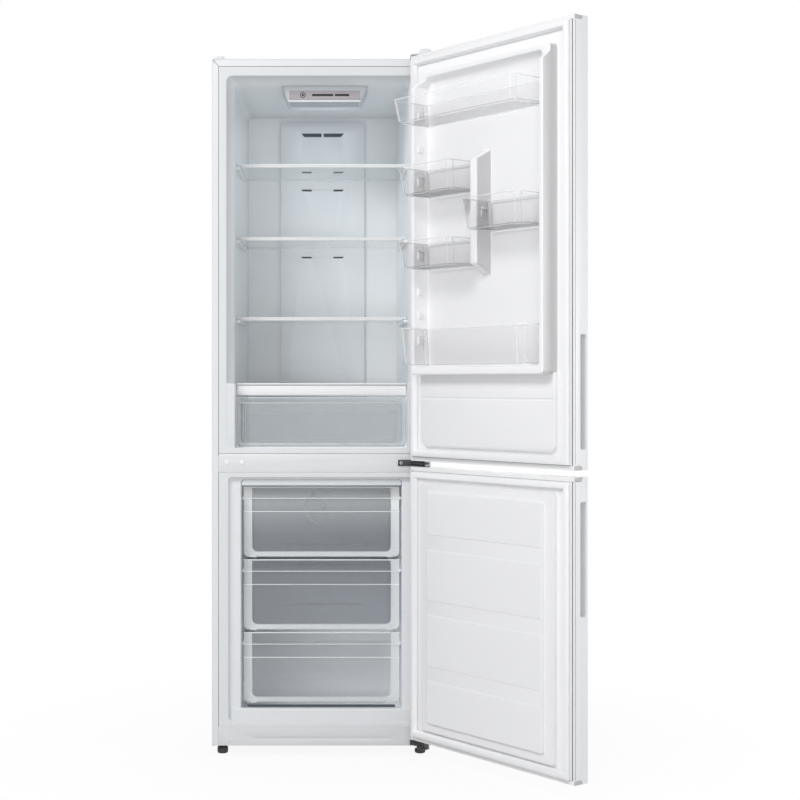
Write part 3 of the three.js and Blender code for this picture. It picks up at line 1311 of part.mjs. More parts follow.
// Closed frame of the magnetic seal, with a narrower lip towards the cabinet.
function doorGasket(door) {
  const z = [door.bottom + GASKET_INSET, door.top - GASKET_INSET];
  const ring = (inset, width, y) => {
    const x = [-HALF + GASKET_INSET + inset, HALF - GASKET_INSET - inset];
    const outside = prismBack(roundedOutline(x, [z[0] + inset, z[1] - inset], 4, 2), y);
    const inner = inset + width;
    const innerX = [-HALF + GASKET_INSET + inner, HALF - GASKET_INSET - inner];
    return outside.subtract(block(innerX, [y[0] - 1, y[1] + 1], [z[0] + inner, z[1] - inner]));
  };
  const base = ring(3, GASKET_WIDTH - 6, [INNER_FACE + SEAT, INNER_FACE + 6]);
  const layer = (at, inset) => ({
    at,
    outline: roundedOutline(
      [-HALF + GASKET_INSET + inset, HALF - GASKET_INSET - inset],
      [z[0] + inset, z[1] - inset],
      4,
      2,
    ),
  });
  const bevelled = lofted(
    [layer(INNER_FACE + 5, 0), layer(-SEAT - GASKET_BEVEL_DROP, 0), layer(-SEAT, GASKET_BEVEL)],
    alongY,
  );
  const lip = ring(0, GASKET_WIDTH, [INNER_FACE + 5, 0]).intersect(bevelled);
  return base.add(lip);
}

// Raised frame with its shouldered sides, shrunk by a wall.
function binFrame(door, shrink) {
  const half = HALF - FRAME_INSET - shrink;
  const top = door.top - FRAME_TOP_DROP - shrink;
  const bottom = door.bottom + FRAME_BOTTOM + shrink;
  const base = INNER_FACE - LINER - 1;
  const crest = INNER_FACE + FRAME_HEIGHT - shrink;
  const lowCrest = INNER_FACE + FRAME_TOP_HEIGHT - shrink;
  const side = [
    [base, bottom],
    [crest, bottom],
    [crest, top - FRAME_SHOULDER],
    [lowCrest, top - FRAME_SHOULDER + 22],
    [lowCrest, top],
    [base, top],
  ];
  const corners = [FRAME_CORNER, FRAME_CORNER, 8, 8];
  const front = prismBack(roundedOutline([-half, half], [bottom, top], corners), [base, crest]);
  const inner = frameOpening(door, shrink);
  return prismAcross(side, [-half, half]).intersect(front).subtract(inner);
}

// The opening inside the frame, its upper corners cut off at 45 degrees.
function frameOpening(door, grow) {
  const half = HALF - FRAME_INSET - FRAME_WIDTH + grow;
  const bottom = door.bottom + FRAME_BOTTOM + FRAME_WIDTH - grow;
  const top = door.top - FRAME_TOP_DROP - FRAME_WIDTH + grow;
  const cut = FRAME_CHAMFER + grow;
  const outline = [
    [-half, bottom],
    [half, bottom],
    [half, top - cut],
    [half - cut, top],
    [-half + cut, top],
    [-half, top - cut],
  ];
  return prismBack(outline, [INNER_FACE - LINER - 2, INNER_FACE + FRAME_HEIGHT + 1]);
}

// Upright fin between the half bins.
function binFin(shrink) {
  const base = INNER_FACE - LINER - 1;
  const crest = INNER_FACE + FRAME_HEIGHT - shrink;
  const low = upTheFrame(FIN_BOTTOM) + shrink;
  const high = upTheFrame(FIN_TOP) - shrink;
  const side = [
    [base, low],
    [INNER_FACE, low],
    [crest, low + FIN_SLOPE],
    [crest, high - FIN_SLOPE],
    [INNER_FACE, high],
    [base, high],
  ];
  const half = FIN_WIDTH / 2 - shrink;
  return prismAcross(side, [-half, half]);
}

// Shallow panel under the frame.
function lowerPanel(door, shrink) {
  const half = HALF - PANEL_INSET - shrink;
  const z = [door.bottom + PANEL_BOTTOM + shrink, door.bottom + FRAME_BOTTOM + 8 - shrink];
  const outline = roundedOutline([-half, half], z, [22, 22, 2, 2]);
  return prismBack(outline, [INNER_FACE - LINER - 1, INNER_FACE + PANEL_HEIGHT - shrink]);
}

function fridgeDoorForm(shrink) {
  const door = FRIDGE_DOOR;
  return joined([binFrame(door, shrink), binFin(shrink), lowerPanel(door, shrink)]);
}

function freezerDoorForm(shrink) {
  const door = FREEZER_DOOR;
  const base = INNER_FACE - LINER - 1;
  const step = (inset, height, end, radius) => {
    const half = HALF - inset - shrink;
    const z = [door.bottom + end + shrink, door.top - end - shrink];
    return prismBack(roundedOutline([-half, half], z, radius), [base, INNER_FACE + height - shrink]);
  };
  const first = step(FIRST_STEP_INSET, FIRST_STEP_HEIGHT, FIRST_STEP_END, 8);
  return first.add(step(SECOND_STEP_INSET, SECOND_STEP_HEIGHT, SECOND_STEP_END, 5));
}

// Flat sheet with the raised form on it, hollow behind.
function doorLiner(door, form) {
  const z = betweenCaps(door);
  const half = HALF - HEM - SEAT;
  const sheet = block([-half, half], [INNER_FACE - LINER, INNER_FACE], z);
  const hollow = form(LINER).add(block([-half, half], [INNER_FACE - LINER - 9, INNER_FACE - LINER], z));
  const behind = block([-HALF, HALF], [OUTER_FACE, INNER_FACE - LINER], [door.bottom, door.top]);
  return sheet.add(form(0)).subtract(hollow).subtract(behind);
}

function doorInsulation(door, form) {
  const z = betweenCaps(door);
  const half = HALF - STEEL - SEAT;
  const y = [OUTER_FACE + STEEL + SEAT, INNER_FACE - LINER - SEAT];
  const slab = block([-half, half], y, [z[0] + SEAT, z[1] - SEAT]);
  const filling = form(LINER + SEAT);
  const edge = DOOR_EDGE;
  const rounding = mirrored((side) => {
    const x = sideRange(side, half - edge, HALF);
    return block(x, [OUTER_FACE, y[0] + edge], [door.bottom, door.top]);
  });
  return slab.subtract(rounding).add(filling).subtract(handleCup(door, STEEL + 2 * SEAT));
}

function handleGrip(door) {
  const rim = block([-HALF, HALF], [OUTER_FACE, 0], [0, TOP]);
  return handleCup(door, STEEL).intersect(rim).subtract(handleCup(door, 0));
}

// ---------------------------------------------------------------------------------------------
// Door bins
// ---------------------------------------------------------------------------------------------

// Width range of a bin: across the whole frame, or from one side to the fin.
function binRange(side) {
  const wall = HALF - FRAME_INSET - FRAME_WIDTH;
  const fin = FIN_WIDTH / 2;
  const ranges = { full: [-wall, wall], hinge: [fin, wall], handle: [-wall, -fin] };
  return ranges[side];
}

const hookBottom = ({ floor, height }) => floor + height - HOOK_DROP;

// Lugs on the frame and on the fin that the bins hang on.
function binLugs() {
  const y = [INNER_FACE + LUG_BACK, INNER_FACE + LUG_BACK + LUG_DEPTH];
  return BINS.map(({ side, floor, height }) => {
    const [left, right] = binRange(side);
    const top = hookBottom({ floor, height }) - SEAT;
    const z = [top - LUG_HEIGHT, top];
    return block([left - 1, left + LUG_REACH], y, z).add(block([right - LUG_REACH, right + 1], y, z));
  });
}

function fridgeDoorLiner() {
  return doorLiner(FRIDGE_DOOR, fridgeDoorForm).add(joined(binLugs()));
}

// Clear tray that narrows towards its floor, with a hook at each end.
function doorBin({ side, floor, height, depth }) {
  const range = binRange(side);
  const x = [range[0] + BIN_SIDE_PLAY, range[1] - BIN_SIDE_PLAY];
  const low = floor;
  const high = low + height;
  const y = [INNER_FACE + BIN_BACK, INNER_FACE + depth];
  const layer = (at, inset, shrink) => ({
    at,
    outline: roundedOutline(
      [x[0] + inset + shrink, x[1] - inset - shrink],
      [y[0] + shrink, y[1] - inset * 1.5 - shrink],
      [2, 2, 12 - shrink, 12 - shrink],
    ),
  });
  const foot = 5;
  const outer = [layer(low, BIN_TAPER + 3, 0), layer(low + foot, BIN_TAPER, 0), layer(high, 0, 0)];
  const wall = BIN_WALL;
  const inner = [
    layer(low + wall, BIN_TAPER + 3, wall),
    layer(low + foot + wall, BIN_TAPER, wall),
    layer(high + 1, 0, wall),
  ];
  const tray = lofted(outer, alongZ).subtract(lofted(inner, alongZ));
  const hookZ = hookBottom({ floor, height });
  const hookY = [INNER_FACE + LUG_BACK - 3, INNER_FACE + LUG_BACK + LUG_DEPTH + 3];
  const z = [hookZ, hookZ + HOOK_HEIGHT];
  const left = block([range[0] + 1, x[0] + BIN_TAPER], hookY, z);
  const right = block([x[1] - BIN_TAPER, range[1] - 1], hookY, z);
  const clear = lofted([layer(low + wall, BIN_TAPER + 3, wall), layer(high + 1, 0, wall)], alongZ);
  return tray.add(left.add(right).subtract(clear));
}

// ---------------------------------------------------------------------------------------------
// Assembly
// ---------------------------------------------------------------------------------------------

const LEFT = -1;
const RIGHT = 1;

// Pieces drawn shut, turned about the hinge pins.
function hungOnPins(pieces) {
  const turned = new THREE.Group();
  turned.position.set(PIN.x, PIN.y, 0);
  turned.rotation.z = THREE.MathUtils.degToRad(DOOR_OPEN);
  const drawn = new THREE.Group();
  drawn.position.set(-PIN.x, -PIN.y, 0);
  drawn.add(...pieces);
  turned.add(drawn);
  return turned;
}

function doorPieces(prefix, door, liner, form) {
  return [
    toMesh(`${prefix}_skin`, doorSkin(door), FINISHES.caseSteel),
    toMesh(`${prefix}_top_cap`, doorTopCap(door), FINISHES.greyPlastic),
    toMesh(`${prefix}_bottom_cap`, doorBottomCap(door), FINISHES.greyPlastic),
    toMesh(`${prefix}_insulation`, doorInsulation(door, form), FINISHES.foam),
    toMesh(`${prefix}_liner`, liner, FINISHES.doorLiner),
    toMesh(`${prefix}_gasket`, doorGasket(door), FINISHES.gasket),
    toMesh(`${prefix}_handle_cup`, handleGrip(door), FINISHES.greyPlastic),
  ];
}

const upperDoor = { ...FRIDGE_DOOR, handleRise: FRIDGE_HANDLE_RISE };
const lowerDoor = { ...FREEZER_DOOR, handleDrop: FREEZER_HANDLE_DROP };
const freezerDoorLiner = doorLiner(lowerDoor, freezerDoorForm);

const cabinetPieces = [
  toMesh('cabinet_shell', cabinetShell(), FINISHES.caseSteel),
  toMesh('back_panel', backPanel(), FINISHES.galvanised),
  toMesh('base_pan', basePan(), FINISHES.galvanised),
  toMesh('cabinet_insulation', cabinetInsulation(), FINISHES.foam),
  toMesh('fridge_liner', fridgeLiner(), FINISHES.liner),
  toMesh('freezer_liner', freezerLiner(), FINISHES.liner),
  toMesh('mid_crossbar', midCrossbar(), FINISHES.whitePlastic),
  toMesh('kick_panel', kickPanel(), FINISHES.whitePlastic),
  toMesh('top_hole_cover', topHoleCover(), FINISHES.whitePlastic),
  toMesh('control_panel_housing', controlPanelHousing(), FINISHES.whitePlastic),
  toMesh('control_panel_lens', controlPanelLens(), FINISHES.lens),
  toMesh('fridge_duct_cover', fridgeDuctCover(), FINISHES.whitePlastic),
  toMesh('crisper_cover_glass', crisperCoverGlass(), FINISHES.glass),
  toMesh('crisper_cover_trim', crisperCoverTrim(), FINISHES.whitePlastic),
  toMesh('freezer_top_trim', freezerTopTrim(), FINISHES.whitePlastic),
  toMesh('evaporator_cover', evaporatorCover(), FINISHES.whitePlastic),
  toMesh('evaporator', evaporator(), FINISHES.aluminium),
  toMesh('fan_motor', fanMotor(), FINISHES.blackPlastic),
  toMesh('compressor', compressor(), FINISHES.blackSteel),
  toMesh('evaporation_tray', evaporationTray(), FINISHES.blackPlastic),
  toMesh('machine_cover', machineCover(), FINISHES.blackPlastic),
  toMesh('top_hinge', topHinge(), FINISHES.zincSteel),
  toMesh('top_hinge_cover', topHingeCover(), FINISHES.whitePlastic),
  toMesh('middle_hinge', middleHinge(), FINISHES.blackSteel),
  toMesh('bottom_hinge', bottomHinge(), FINISHES.blackSteel),
  toMesh('middle_hinge_screw', middleHingeScrew(), FINISHES.zincSteel),
];

const loosePieces = [
  toMesh('evaporator_fan', evaporatorFan(), FINISHES.blackPlastic),
  toMesh('left_front_foot', frontFoot(LEFT), FINISHES.blackPlastic),
  toMesh('right_front_foot', frontFoot(RIGHT), FINISHES.blackPlastic),
  toMesh('left_rear_roller', rearRoller(LEFT), FINISHES.blackPlastic),
  toMesh('right_rear_roller', rearRoller(RIGHT), FINISHES.blackPlastic),
  ...SHELVES.map((shelf) => toMesh(`${shelf.name}_shelf_glass`, shelfGlass(shelf), FINISHES.glass)),
  ...SHELVES.map((shelf) => toMesh(`${shelf.name}_shelf_trim`, shelfTrim(shelf), FINISHES.whitePlastic)),
  toMesh('crisper_drawer', crisperDrawer(), FINISHES.clearPlastic),
  ...DRAWERS.map((drawer) => toMesh(drawer.name, freezerDrawer(drawer), FINISHES.clearPlastic)),
];

const fridgeDoorPieces = doorPieces('fridge_door', upperDoor, fridgeDoorLiner(), fridgeDoorForm);
const binPieces = BINS.map((tray) => toMesh(tray.name, doorBin(tray), FINISHES.clearPlastic));
const freezerDoorPieces = doorPieces('freezer_door', lowerDoor, freezerDoorLiner, freezerDoorForm);

const refrigerator = new THREE.Group();
refrigerator.add(...cabinetPieces, ...loosePieces);
refrigerator.add(hungOnPins([...fridgeDoorPieces, ...binPieces]));
refrigerator.add(hungOnPins(freezerDoorPieces));
refrigerator.position.set(FOOT.x, -FOOT.y, 0);

export default refrigerator;
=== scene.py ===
"""Refrigerator with its freezer at the bottom, both doors standing open.

The pieces are drawn in millimetres in the cabinet's own frame: X = 0 in the middle of its
width, Y = 0 on its front face and growing to the back, Z = 0 on the floor. What hangs on a
door is drawn with the door shut and then swung open about the hinge pins.
"""

import json
import math

import bmesh
import bpy
from bpy.props import FloatProperty, FloatVectorProperty, IntProperty, PointerProperty
from mathutils import Matrix, Vector


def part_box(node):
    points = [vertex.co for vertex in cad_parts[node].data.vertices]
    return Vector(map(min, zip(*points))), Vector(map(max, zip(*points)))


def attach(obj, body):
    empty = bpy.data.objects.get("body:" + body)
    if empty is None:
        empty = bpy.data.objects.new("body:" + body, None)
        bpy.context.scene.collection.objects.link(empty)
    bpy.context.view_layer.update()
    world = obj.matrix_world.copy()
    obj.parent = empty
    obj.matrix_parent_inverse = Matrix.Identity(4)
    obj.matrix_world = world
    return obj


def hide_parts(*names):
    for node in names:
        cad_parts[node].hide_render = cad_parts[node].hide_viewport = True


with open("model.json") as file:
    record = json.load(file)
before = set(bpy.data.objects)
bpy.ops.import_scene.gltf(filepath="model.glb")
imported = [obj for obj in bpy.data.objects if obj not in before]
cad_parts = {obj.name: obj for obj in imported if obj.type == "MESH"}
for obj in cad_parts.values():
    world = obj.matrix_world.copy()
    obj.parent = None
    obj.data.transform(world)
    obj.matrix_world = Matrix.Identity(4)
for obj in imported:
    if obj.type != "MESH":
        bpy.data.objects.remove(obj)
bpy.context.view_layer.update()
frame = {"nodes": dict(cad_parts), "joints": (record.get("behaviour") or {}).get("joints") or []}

bl_info = {
    "name": "Bottom freezer refrigerator",
    "version": (1, 0, 0),
    "blender": (4, 5, 0),
    "location": "View3D > Sidebar > Refrigerator",
    "description": "Builds an open refrigerator with its freezer at the bottom around its frame",
    "category": "Add Mesh",
}

MM = 0.001
TINY = 0.02  # millimetres; a corner that is all but sharp
SEAT = 0.3  # gap between two pieces that touch
CORNER_STEPS = 7
EDGE_STEPS = 3
CREASE = math.radians(32)  # a sharper edge than this is drawn sharp
SAME_POINT = 1e-6  # metres; nearer points than this are one

# ---------------------------------------------------------------------------------------------
# Places taken from the frame
# ---------------------------------------------------------------------------------------------

case_low, case_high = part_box("cabinet_shell")
SHIFT = Vector(((case_low.x + case_high.x) / 2, case_low.y, 0.0))  # from the cabinet's frame
HALF = (case_high.x - case_low.x) / 2 / MM
DEPTH = (case_high.y - case_low.y) / MM
BOTTOM = case_low.z / MM
TOP = case_high.z / MM

SWING = next(joint for joint in frame["joints"] if joint["name"] == "fridge_door_swing")
PIN = Vector((SWING["pos_m"][0], SWING["pos_m"][1], 0.0))
OPEN = math.radians(-SWING["range_deg"][0])
SWUNG = Matrix.Translation(PIN) @ Matrix.Rotation(OPEN, 4, "Z") @ Matrix.Translation(-PIN)
PIN_X = (PIN.x - SHIFT.x) / MM
PIN_Y = (PIN.y - SHIFT.y) / MM


def box_mm(node):
    """A node's box in the cabinet's frame: ranges of X, Y and Z."""
    low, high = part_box(node)
    low, high = (low - SHIFT) / MM, (high - SHIFT) / MM
    return (low.x, high.x), (low.y, high.y), (low.z, high.z)


INNER_FACE = -14.0  # a shut door's inner face
OUTER_FACE = -62.0
FRIDGE_DOOR = box_mm("fridge_door_skin")[2]
FREEZER_DOOR = box_mm("freezer_door_skin")[2]


def linear(*levels):
    """A colour written as 0 to 255 on the screen, as the shader's linear values."""
    return tuple(((v / 255 + 0.055) / 1.055) ** 2.4 if v > 10 else v / 255 / 12.92 for v in levels)


# ---------------------------------------------------------------------------------------------
# What a user would change
# ---------------------------------------------------------------------------------------------


def colour_property(name, description, levels):
    return FloatVectorProperty(
        name=name, description=description, subtype="COLOR", size=3, min=0, max=1,
        default=linear(*levels),
    )


class RefrigeratorColours(bpy.types.PropertyGroup):
    enamel: colour_property("Enamel", "Painted steel of the case and the doors", (233, 234, 236))
    liner: colour_property("Cabinet liner", "Formed walls of both compartments", (228, 230, 232))
    door_liner: colour_property("Door liner", "Formed inner side of the doors", (250, 250, 251))
    # painted shade: the door liner's own plastic, drawn a touch darker on the doors' panels
    door_panel: colour_property("Door panels", "Panels of the doors", (246, 246, 248))
    trim: colour_property("White mouldings", "Crossbar, kick panel and hinge cover", (230, 231, 232))
    shelf_trim: colour_property("Shelf trims", "Trims of the shelves and covers", (246, 247, 248))
    cap: colour_property("Grey mouldings", "End caps of the doors", (246, 246, 247))
    duct: colour_property("Duct cover", "Cover of the fridge's air duct", (229, 232, 235))
    # painted shade: the rear cover is drawn grey for the shade behind the freezer's drawers
    coil_cover: colour_property("Rear cover", "Cover of the freezer's rear", (144, 151, 159))
    tray: colour_property("Door trays", "Clear plastic of the trays in the door", (251, 251, 252))
    drawer: colour_property("Drawers", "Clear plastic of the drawers", (186, 192, 199))
    crisper: colour_property("Crisper", "Clear plastic of the crisper", (218, 225, 228))
    glass: colour_property("Shelf glass", "Body tint of the shelves", (220, 232, 230))
    display: colour_property("Display", "Window of the control panel", (176, 170, 175))
    seal: colour_property("Seals", "Magnetic seals of the doors", (250, 250, 251))
    black: colour_property("Black plastic", "Feet, rollers, fan and rear cover", (52, 53, 56))
    black_steel: colour_property("Black steel", "Lower hinges and compressor", (46, 47, 50))
    floor: colour_property("Floor", "Floor and backdrop", (248, 248, 249))


class RefrigeratorSizes(bpy.types.PropertyGroup):
    case_corner: FloatProperty(
        name="Case corner", description="Radius of the case's outer edges",
        default=3.0 * MM, min=0.5 * MM, max=10 * MM, unit="LENGTH",
    )
    door_corner: FloatProperty(
        name="Door edge", description="Radius of a door's upright outer edges",
        default=4.0 * MM, min=0.5 * MM, max=12 * MM, unit="LENGTH",
    )
    moulding_edge: FloatProperty(
        name="Moulding edge", description="Rounding of moulded edges",
        default=0.9 * MM, min=0.1 * MM, max=2 * MM, unit="LENGTH",
    )
    fins: IntProperty(
        name="Evaporator fins", description="Fins of the evaporator", default=46, min=4, max=120,
    )
    slats: IntProperty(
        name="Rear slats", description="Slats in each half of the rear cover",
        default=14, min=2, max=40,
    )


def sizes():
    return bpy.context.scene.refrigerator_sizes


def colours():
    return bpy.context.scene.refrigerator_colours


# ---------------------------------------------------------------------------------------------
# Shader maths
# ---------------------------------------------------------------------------------------------


class Wire:
    """An output socket that can stand in a sum."""

    def __init__(self, nodes, socket):
        self.nodes = nodes
        self.socket = socket

    def _maths(self, operation, *values):
        return self.nodes.node("ShaderNodeMath", {"operation": operation}, dict(enumerate(values)))

    def __add__(self, other):
        return self._maths("ADD", self, other)

    __radd__ = __add__

    def __sub__(self, other):
        return self._maths("SUBTRACT", self, other)

    def __rsub__(self, other):
        return self._maths("SUBTRACT", other, self)

    def __mul__(self, other):
        return self._maths("MULTIPLY", self, other)

    __rmul__ = __mul__

    def __truediv__(self, other):
        return self._maths("DIVIDE", self, other)

    def __pow__(self, other):
        return self._maths("POWER", self, other)

    def clipped(self):
        return self._maths("MINIMUM", self._maths("MAXIMUM", self, 0.0), 1.0)

    def over(self, edge, softness):
        """0 below the edge and 1 above it, with a soft step."""
        return ((self - edge) / softness + 0.5).clipped()


class Nodes:
    """A node tree with a short way to add to it."""

    def __init__(self, tree):
        self.tree = tree

    def node(self, kind, settings, inputs, output=0):
        """Adds a node: its settings first, then its sockets' values or links; gives an output."""
        node = self.tree.nodes.new(kind)
        for key, value in settings.items():
            setattr(node, key, value)
        for key, value in inputs.items():
            if isinstance(value, Wire):
                self.tree.links.new(value.socket, node.inputs[key])
            else:
                node.inputs[key].default_value = value
        return Wire(self, node.outputs[output]) if node.outputs else None

    def seen_directly(self):
        """1 for what the camera, gloss or glass sees, and 0 for light that only bounces."""
        kinds = ("Is Camera Ray", "Is Glossy Ray", "Is Transmission Ray")
        first, second, third = (self.node("ShaderNodeLightPath", {}, {}, kind) for kind in kinds)
        return (first + second + third).clipped()


class Finish(Nodes):
    """A material with one main shader, and a short way to add what varies over it."""

    def __init__(self, name, colour, roughness, metallic=0.0, **uniform):
        self.material = bpy.data.materials.new(name)
        self.material.use_nodes = True
        super().__init__(self.material.node_tree)
        self.shader = self.tree.nodes["Principled BSDF"]
        self.colour = tuple(colour) + (1.0,)
        self.set("Base Color", self.colour)
        self.set("Roughness", roughness)
        self.set("Metallic", metallic)
        for socket, value in uniform.items():
            self.set(socket.replace("_", " ").title().replace("Ior", "IOR"), value)
        self.spot = self.node("ShaderNodeTexCoord", {}, {}, "Object")
        self.bump = None
        self.tone = self.colour

    def set(self, socket, value):
        if isinstance(value, Wire):
            self.tree.links.new(value.socket, self.shader.inputs[socket])
        else:
            self.shader.inputs[socket].default_value = value

    def stretched(self, scale):
        """Object coordinates, drawn out along an axis."""
        return self.node("ShaderNodeMapping", {}, {"Vector": self.spot, "Scale": scale}, "Vector")

    def noise(self, scale, detail=3.0, vector=None):
        inputs = {"Vector": vector or self.spot, "Scale": scale, "Detail": detail, "Roughness": 0.5}
        return self.node("ShaderNodeTexNoise", {}, inputs, "Fac")

    def cells(self, scale, output):
        return self.node("ShaderNodeTexVoronoi", {}, {"Vector": self.spot, "Scale": scale}, output)

    def place(self, axis):
        """An object coordinate, in metres."""
        return self.node("ShaderNodeSeparateXYZ", {}, {0: self.spot}, axis)

    def along(self, axis, start, end):
        """0 at one place along an axis and 1 at another, both in metres."""
        return ((self.place(axis) - start) / (end - start)).clipped()

    def mixed(self, factor, first, second):
        settings = {"data_type": "RGBA", "blend_type": "MIX"}
        inputs = {"Factor": factor, "A": first, "B": second}
        return self.node("ShaderNodeMix", settings, inputs, "Result")

    def shaded(self, amount):
        """The finish's colour made lighter or darker by a share."""
        return tuple(min(1.0, level * amount) for level in self.colour[:3]) + (1.0,)

    def mottled(self, scale, spread, detail=3.0):
        """Colour that drifts a little over the surface."""
        drift = self.noise(scale, detail)
        self.tone = self.mixed(drift, self.shaded(1 - spread), self.shaded(1 + spread))
        self.set("Base Color", self.tone)
        return self

    def towards(self, factor, amount):
        """Colour that grows lighter or darker with a factor."""
        self.set("Base Color", self.mixed(factor, self.tone, self.shaded(amount)))
        return self

    def rubbed(self, scale, middle, spread):
        """Roughness that drifts a little."""
        self.set("Roughness", self.noise(scale, 4.0) * (2 * spread) + (middle - spread))
        return self

    def relief(self, height, distance, strength=1.0):
        """A bump from a height between 0 and 1, over a distance in metres."""
        inputs = {"Height": height, "Distance": distance, "Strength": strength}
        if self.bump:
            inputs["Normal"] = self.bump
        self.bump = self.node("ShaderNodeBump", {}, inputs, "Normal")
        self.set("Normal", self.bump)
        return self


def enamel():
    finish = Finish("enamel", colours().enamel, 0.42, coat_weight=0.1, coat_roughness=0.3)
    finish.mottled(3.0, 0.008).rubbed(9.0, 0.42, 0.04)
    return finish.relief(finish.noise(420.0, 2.0), 0.00006, 0.6)


def door_edge_enamel():
    finish = Finish("door_enamel", colours().enamel, 0.36, coat_weight=0.2, coat_roughness=0.15)
    finish.mottled(6.0, 0.01).rubbed(12.0, 0.36, 0.04)
    return finish.relief(finish.noise(700.0, 2.0), 0.00005, 0.6)


def liner_with_painted_light():
    """Painted light: lighter on its side walls than on its flange and its rear."""
    finish = Finish("liner_with_painted_light", colours().liner, 0.32)
    finish.mottled(2.2, 0.012).rubbed(6.0, 0.32, 0.05)
    # painted light: the walls are drawn lighter and the rear less so
    wall = finish.along("Y", SHIFT.y + 0.004, SHIFT.y + 0.05)
    rear = finish.along("Y", SHIFT.y + 0.42, SHIFT.y + 0.485)
    finish.towards(wall - rear * 0.8, 1.22)
    return finish.relief(finish.noise(26.0, 2.0), 0.0004, 0.25)


def door_liner_with_painted_shade():
    finish = Finish("door_liner_with_painted_shade", colours().door_liner, 0.34)
    finish.mottled(2.6, 0.008).rubbed(7.0, 0.34, 0.04)
    # painted shade: darker where a piece's wall attribute is 1, on the frame's outer wall by the handle,
    # the fin's side and its lugs
    painted_wall_shade = finish.node("ShaderNodeAttribute", {"attribute_name": "wall"}, {}, "Fac")
    finish.towards(painted_wall_shade, 0.66)
    return finish.relief(finish.noise(30.0, 2.0), 0.0003, 0.25)


def door_panel_painted_shade():
    finish = Finish("door_panel_painted_shade", colours().door_panel, 0.36)
    finish.mottled(2.6, 0.008).rubbed(7.0, 0.36, 0.04)
    return finish.relief(finish.noise(30.0, 2.0), 0.0003, 0.25)


def moulded(name, colour, roughness=0.42):
    finish = Finish(name, colour, roughness)
    finish.mottled(8.0, 0.01).rubbed(20.0, roughness, 0.04)
    return finish.relief(finish.noise(1500.0, 2.0), 0.00003, 0.5)


def clear_plastic(name, colour, alpha, roughness=0.16):
    finish = Finish(name, colour, roughness, alpha=alpha, specular_ior_level=0.55)
    finish.mottled(5.0, 0.01).rubbed(14.0, roughness, 0.04)
    return finish.relief(finish.noise(3.0, 0.0), 0.0004, 0.1)


def drawer_plastic_painted_light(name, colour, alpha):
    """Clear plastic, lighter towards the lowest drawer, with painted light at the top of the highest
    drawer.
    """
    finish = clear_plastic(name, colour, alpha, 0.14)
    # painted light where the freezer's ceiling shades the highest drawer; the lowest drawer is drawn
    # lighter too
    low, high = finish.along("Z", 0.5, 0.12), finish.along("Z", 0.59, 0.72)
    return finish.towards(low * 0.25 + high, 2.0)


def coil_cover_with_painted_light():
    """Painted light: lighter along its top, against the shade under the freezer's ceiling."""
    finish = Finish("coil_cover_with_painted_light", colours().coil_cover, 0.7).mottled(2.0, 0.03)
    return finish.towards(finish.along("Z", 0.6, 0.69), 2.7)


def shelf_glass():
    finish = Finish("shelf_glass", colours().glass, 0.04, alpha=0.13, specular_ior_level=0.5)
    return finish.mottled(4.0, 0.006).rubbed(10.0, 0.05, 0.02)


def display_window():
    finish = Finish("display_window", colours().display, 0.16, coat_weight=0.4)
    return finish.mottled(20.0, 0.015).rubbed(30.0, 0.16, 0.03)


def display_mark():
    finish = Finish("display_mark", linear(24, 25, 29), 0.5)
    return finish.mottled(80.0, 0.05)


def lamp_diffuser():
    colour = linear(246, 249, 250)
    finish = Finish("lamp_diffuser", colour, 0.4, emission_strength=0.1)
    finish.set("Emission Color", colour + (1.0,))
    return finish.mottled(30.0, 0.01)


def seal_rubber():
    finish = Finish("seal_rubber", colours().seal, 0.55, sheen_weight=0.15)
    finish.mottled(14.0, 0.015).rubbed(25.0, 0.55, 0.05)
    return finish.relief(finish.noise(900.0, 2.0), 0.00004, 0.5)


def black_plastic():
    finish = Finish("black_plastic", colours().black, 0.5)
    finish.mottled(20.0, 0.12).rubbed(40.0, 0.5, 0.06)
    return finish.relief(finish.noise(1200.0, 3.0), 0.00006, 0.6)


def black_steel():
    finish = Finish("black_steel", colours().black_steel, 0.36, coat_weight=0.3)
    finish.mottled(16.0, 0.15).rubbed(30.0, 0.36, 0.08)
    return finish.relief(finish.noise(500.0, 3.0), 0.00005, 0.6)


def bright_zinc():
    finish = Finish("bright_zinc", linear(205, 207, 210), 0.28, metallic=1.0)
    streaks = finish.noise(60.0, 4.0, vector=finish.stretched((1.0, 1.0, 12.0)))
    finish.set("Roughness", streaks * 0.16 + 0.2)
    return finish.mottled(40.0, 0.06)


def galvanised():
    """Zinc coated sheet with its flowery crystals."""
    finish = Finish("galvanised", linear(178, 181, 184), 0.42, metallic=0.85)
    patch = finish.node("ShaderNodeSeparateColor", {}, {0: finish.cells(55.0, "Color")})
    finish.set("Base Color", finish.mixed(patch, finish.shaded(0.82), finish.shaded(1.12)))
    finish.set("Roughness", patch * 0.2 + 0.32)
    return finish.relief(finish.noise(300.0, 2.0), 0.00005, 0.4)


def fin_aluminium():
    finish = Finish("fin_aluminium", linear(200, 203, 206), 0.34, metallic=1.0)
    streaks = finish.noise(90.0, 4.0, vector=finish.stretched((14.0, 1.0, 1.0)))
    finish.set("Roughness", streaks * 0.2 + 0.24)
    return finish.mottled(30.0, 0.05)


def copper_pipe():
    finish = Finish("copper_pipe", linear(184, 112, 74), 0.3, metallic=1.0)
    tarnish = finish.noise(45.0, 5.0).over(0.55, 0.3)
    finish.set("Base Color", finish.mixed(tarnish, finish.colour, linear(120, 74, 56) + (1.0,)))
    finish.set("Roughness", tarnish * 0.25 + 0.25)
    return finish


def insulating_foam():
    finish = Finish("insulating_foam", linear(232, 214, 160), 0.9)
    finish.mottled(12.0, 0.06)
    return finish.relief(finish.cells(260.0, "Distance"), 0.0006, 0.8)


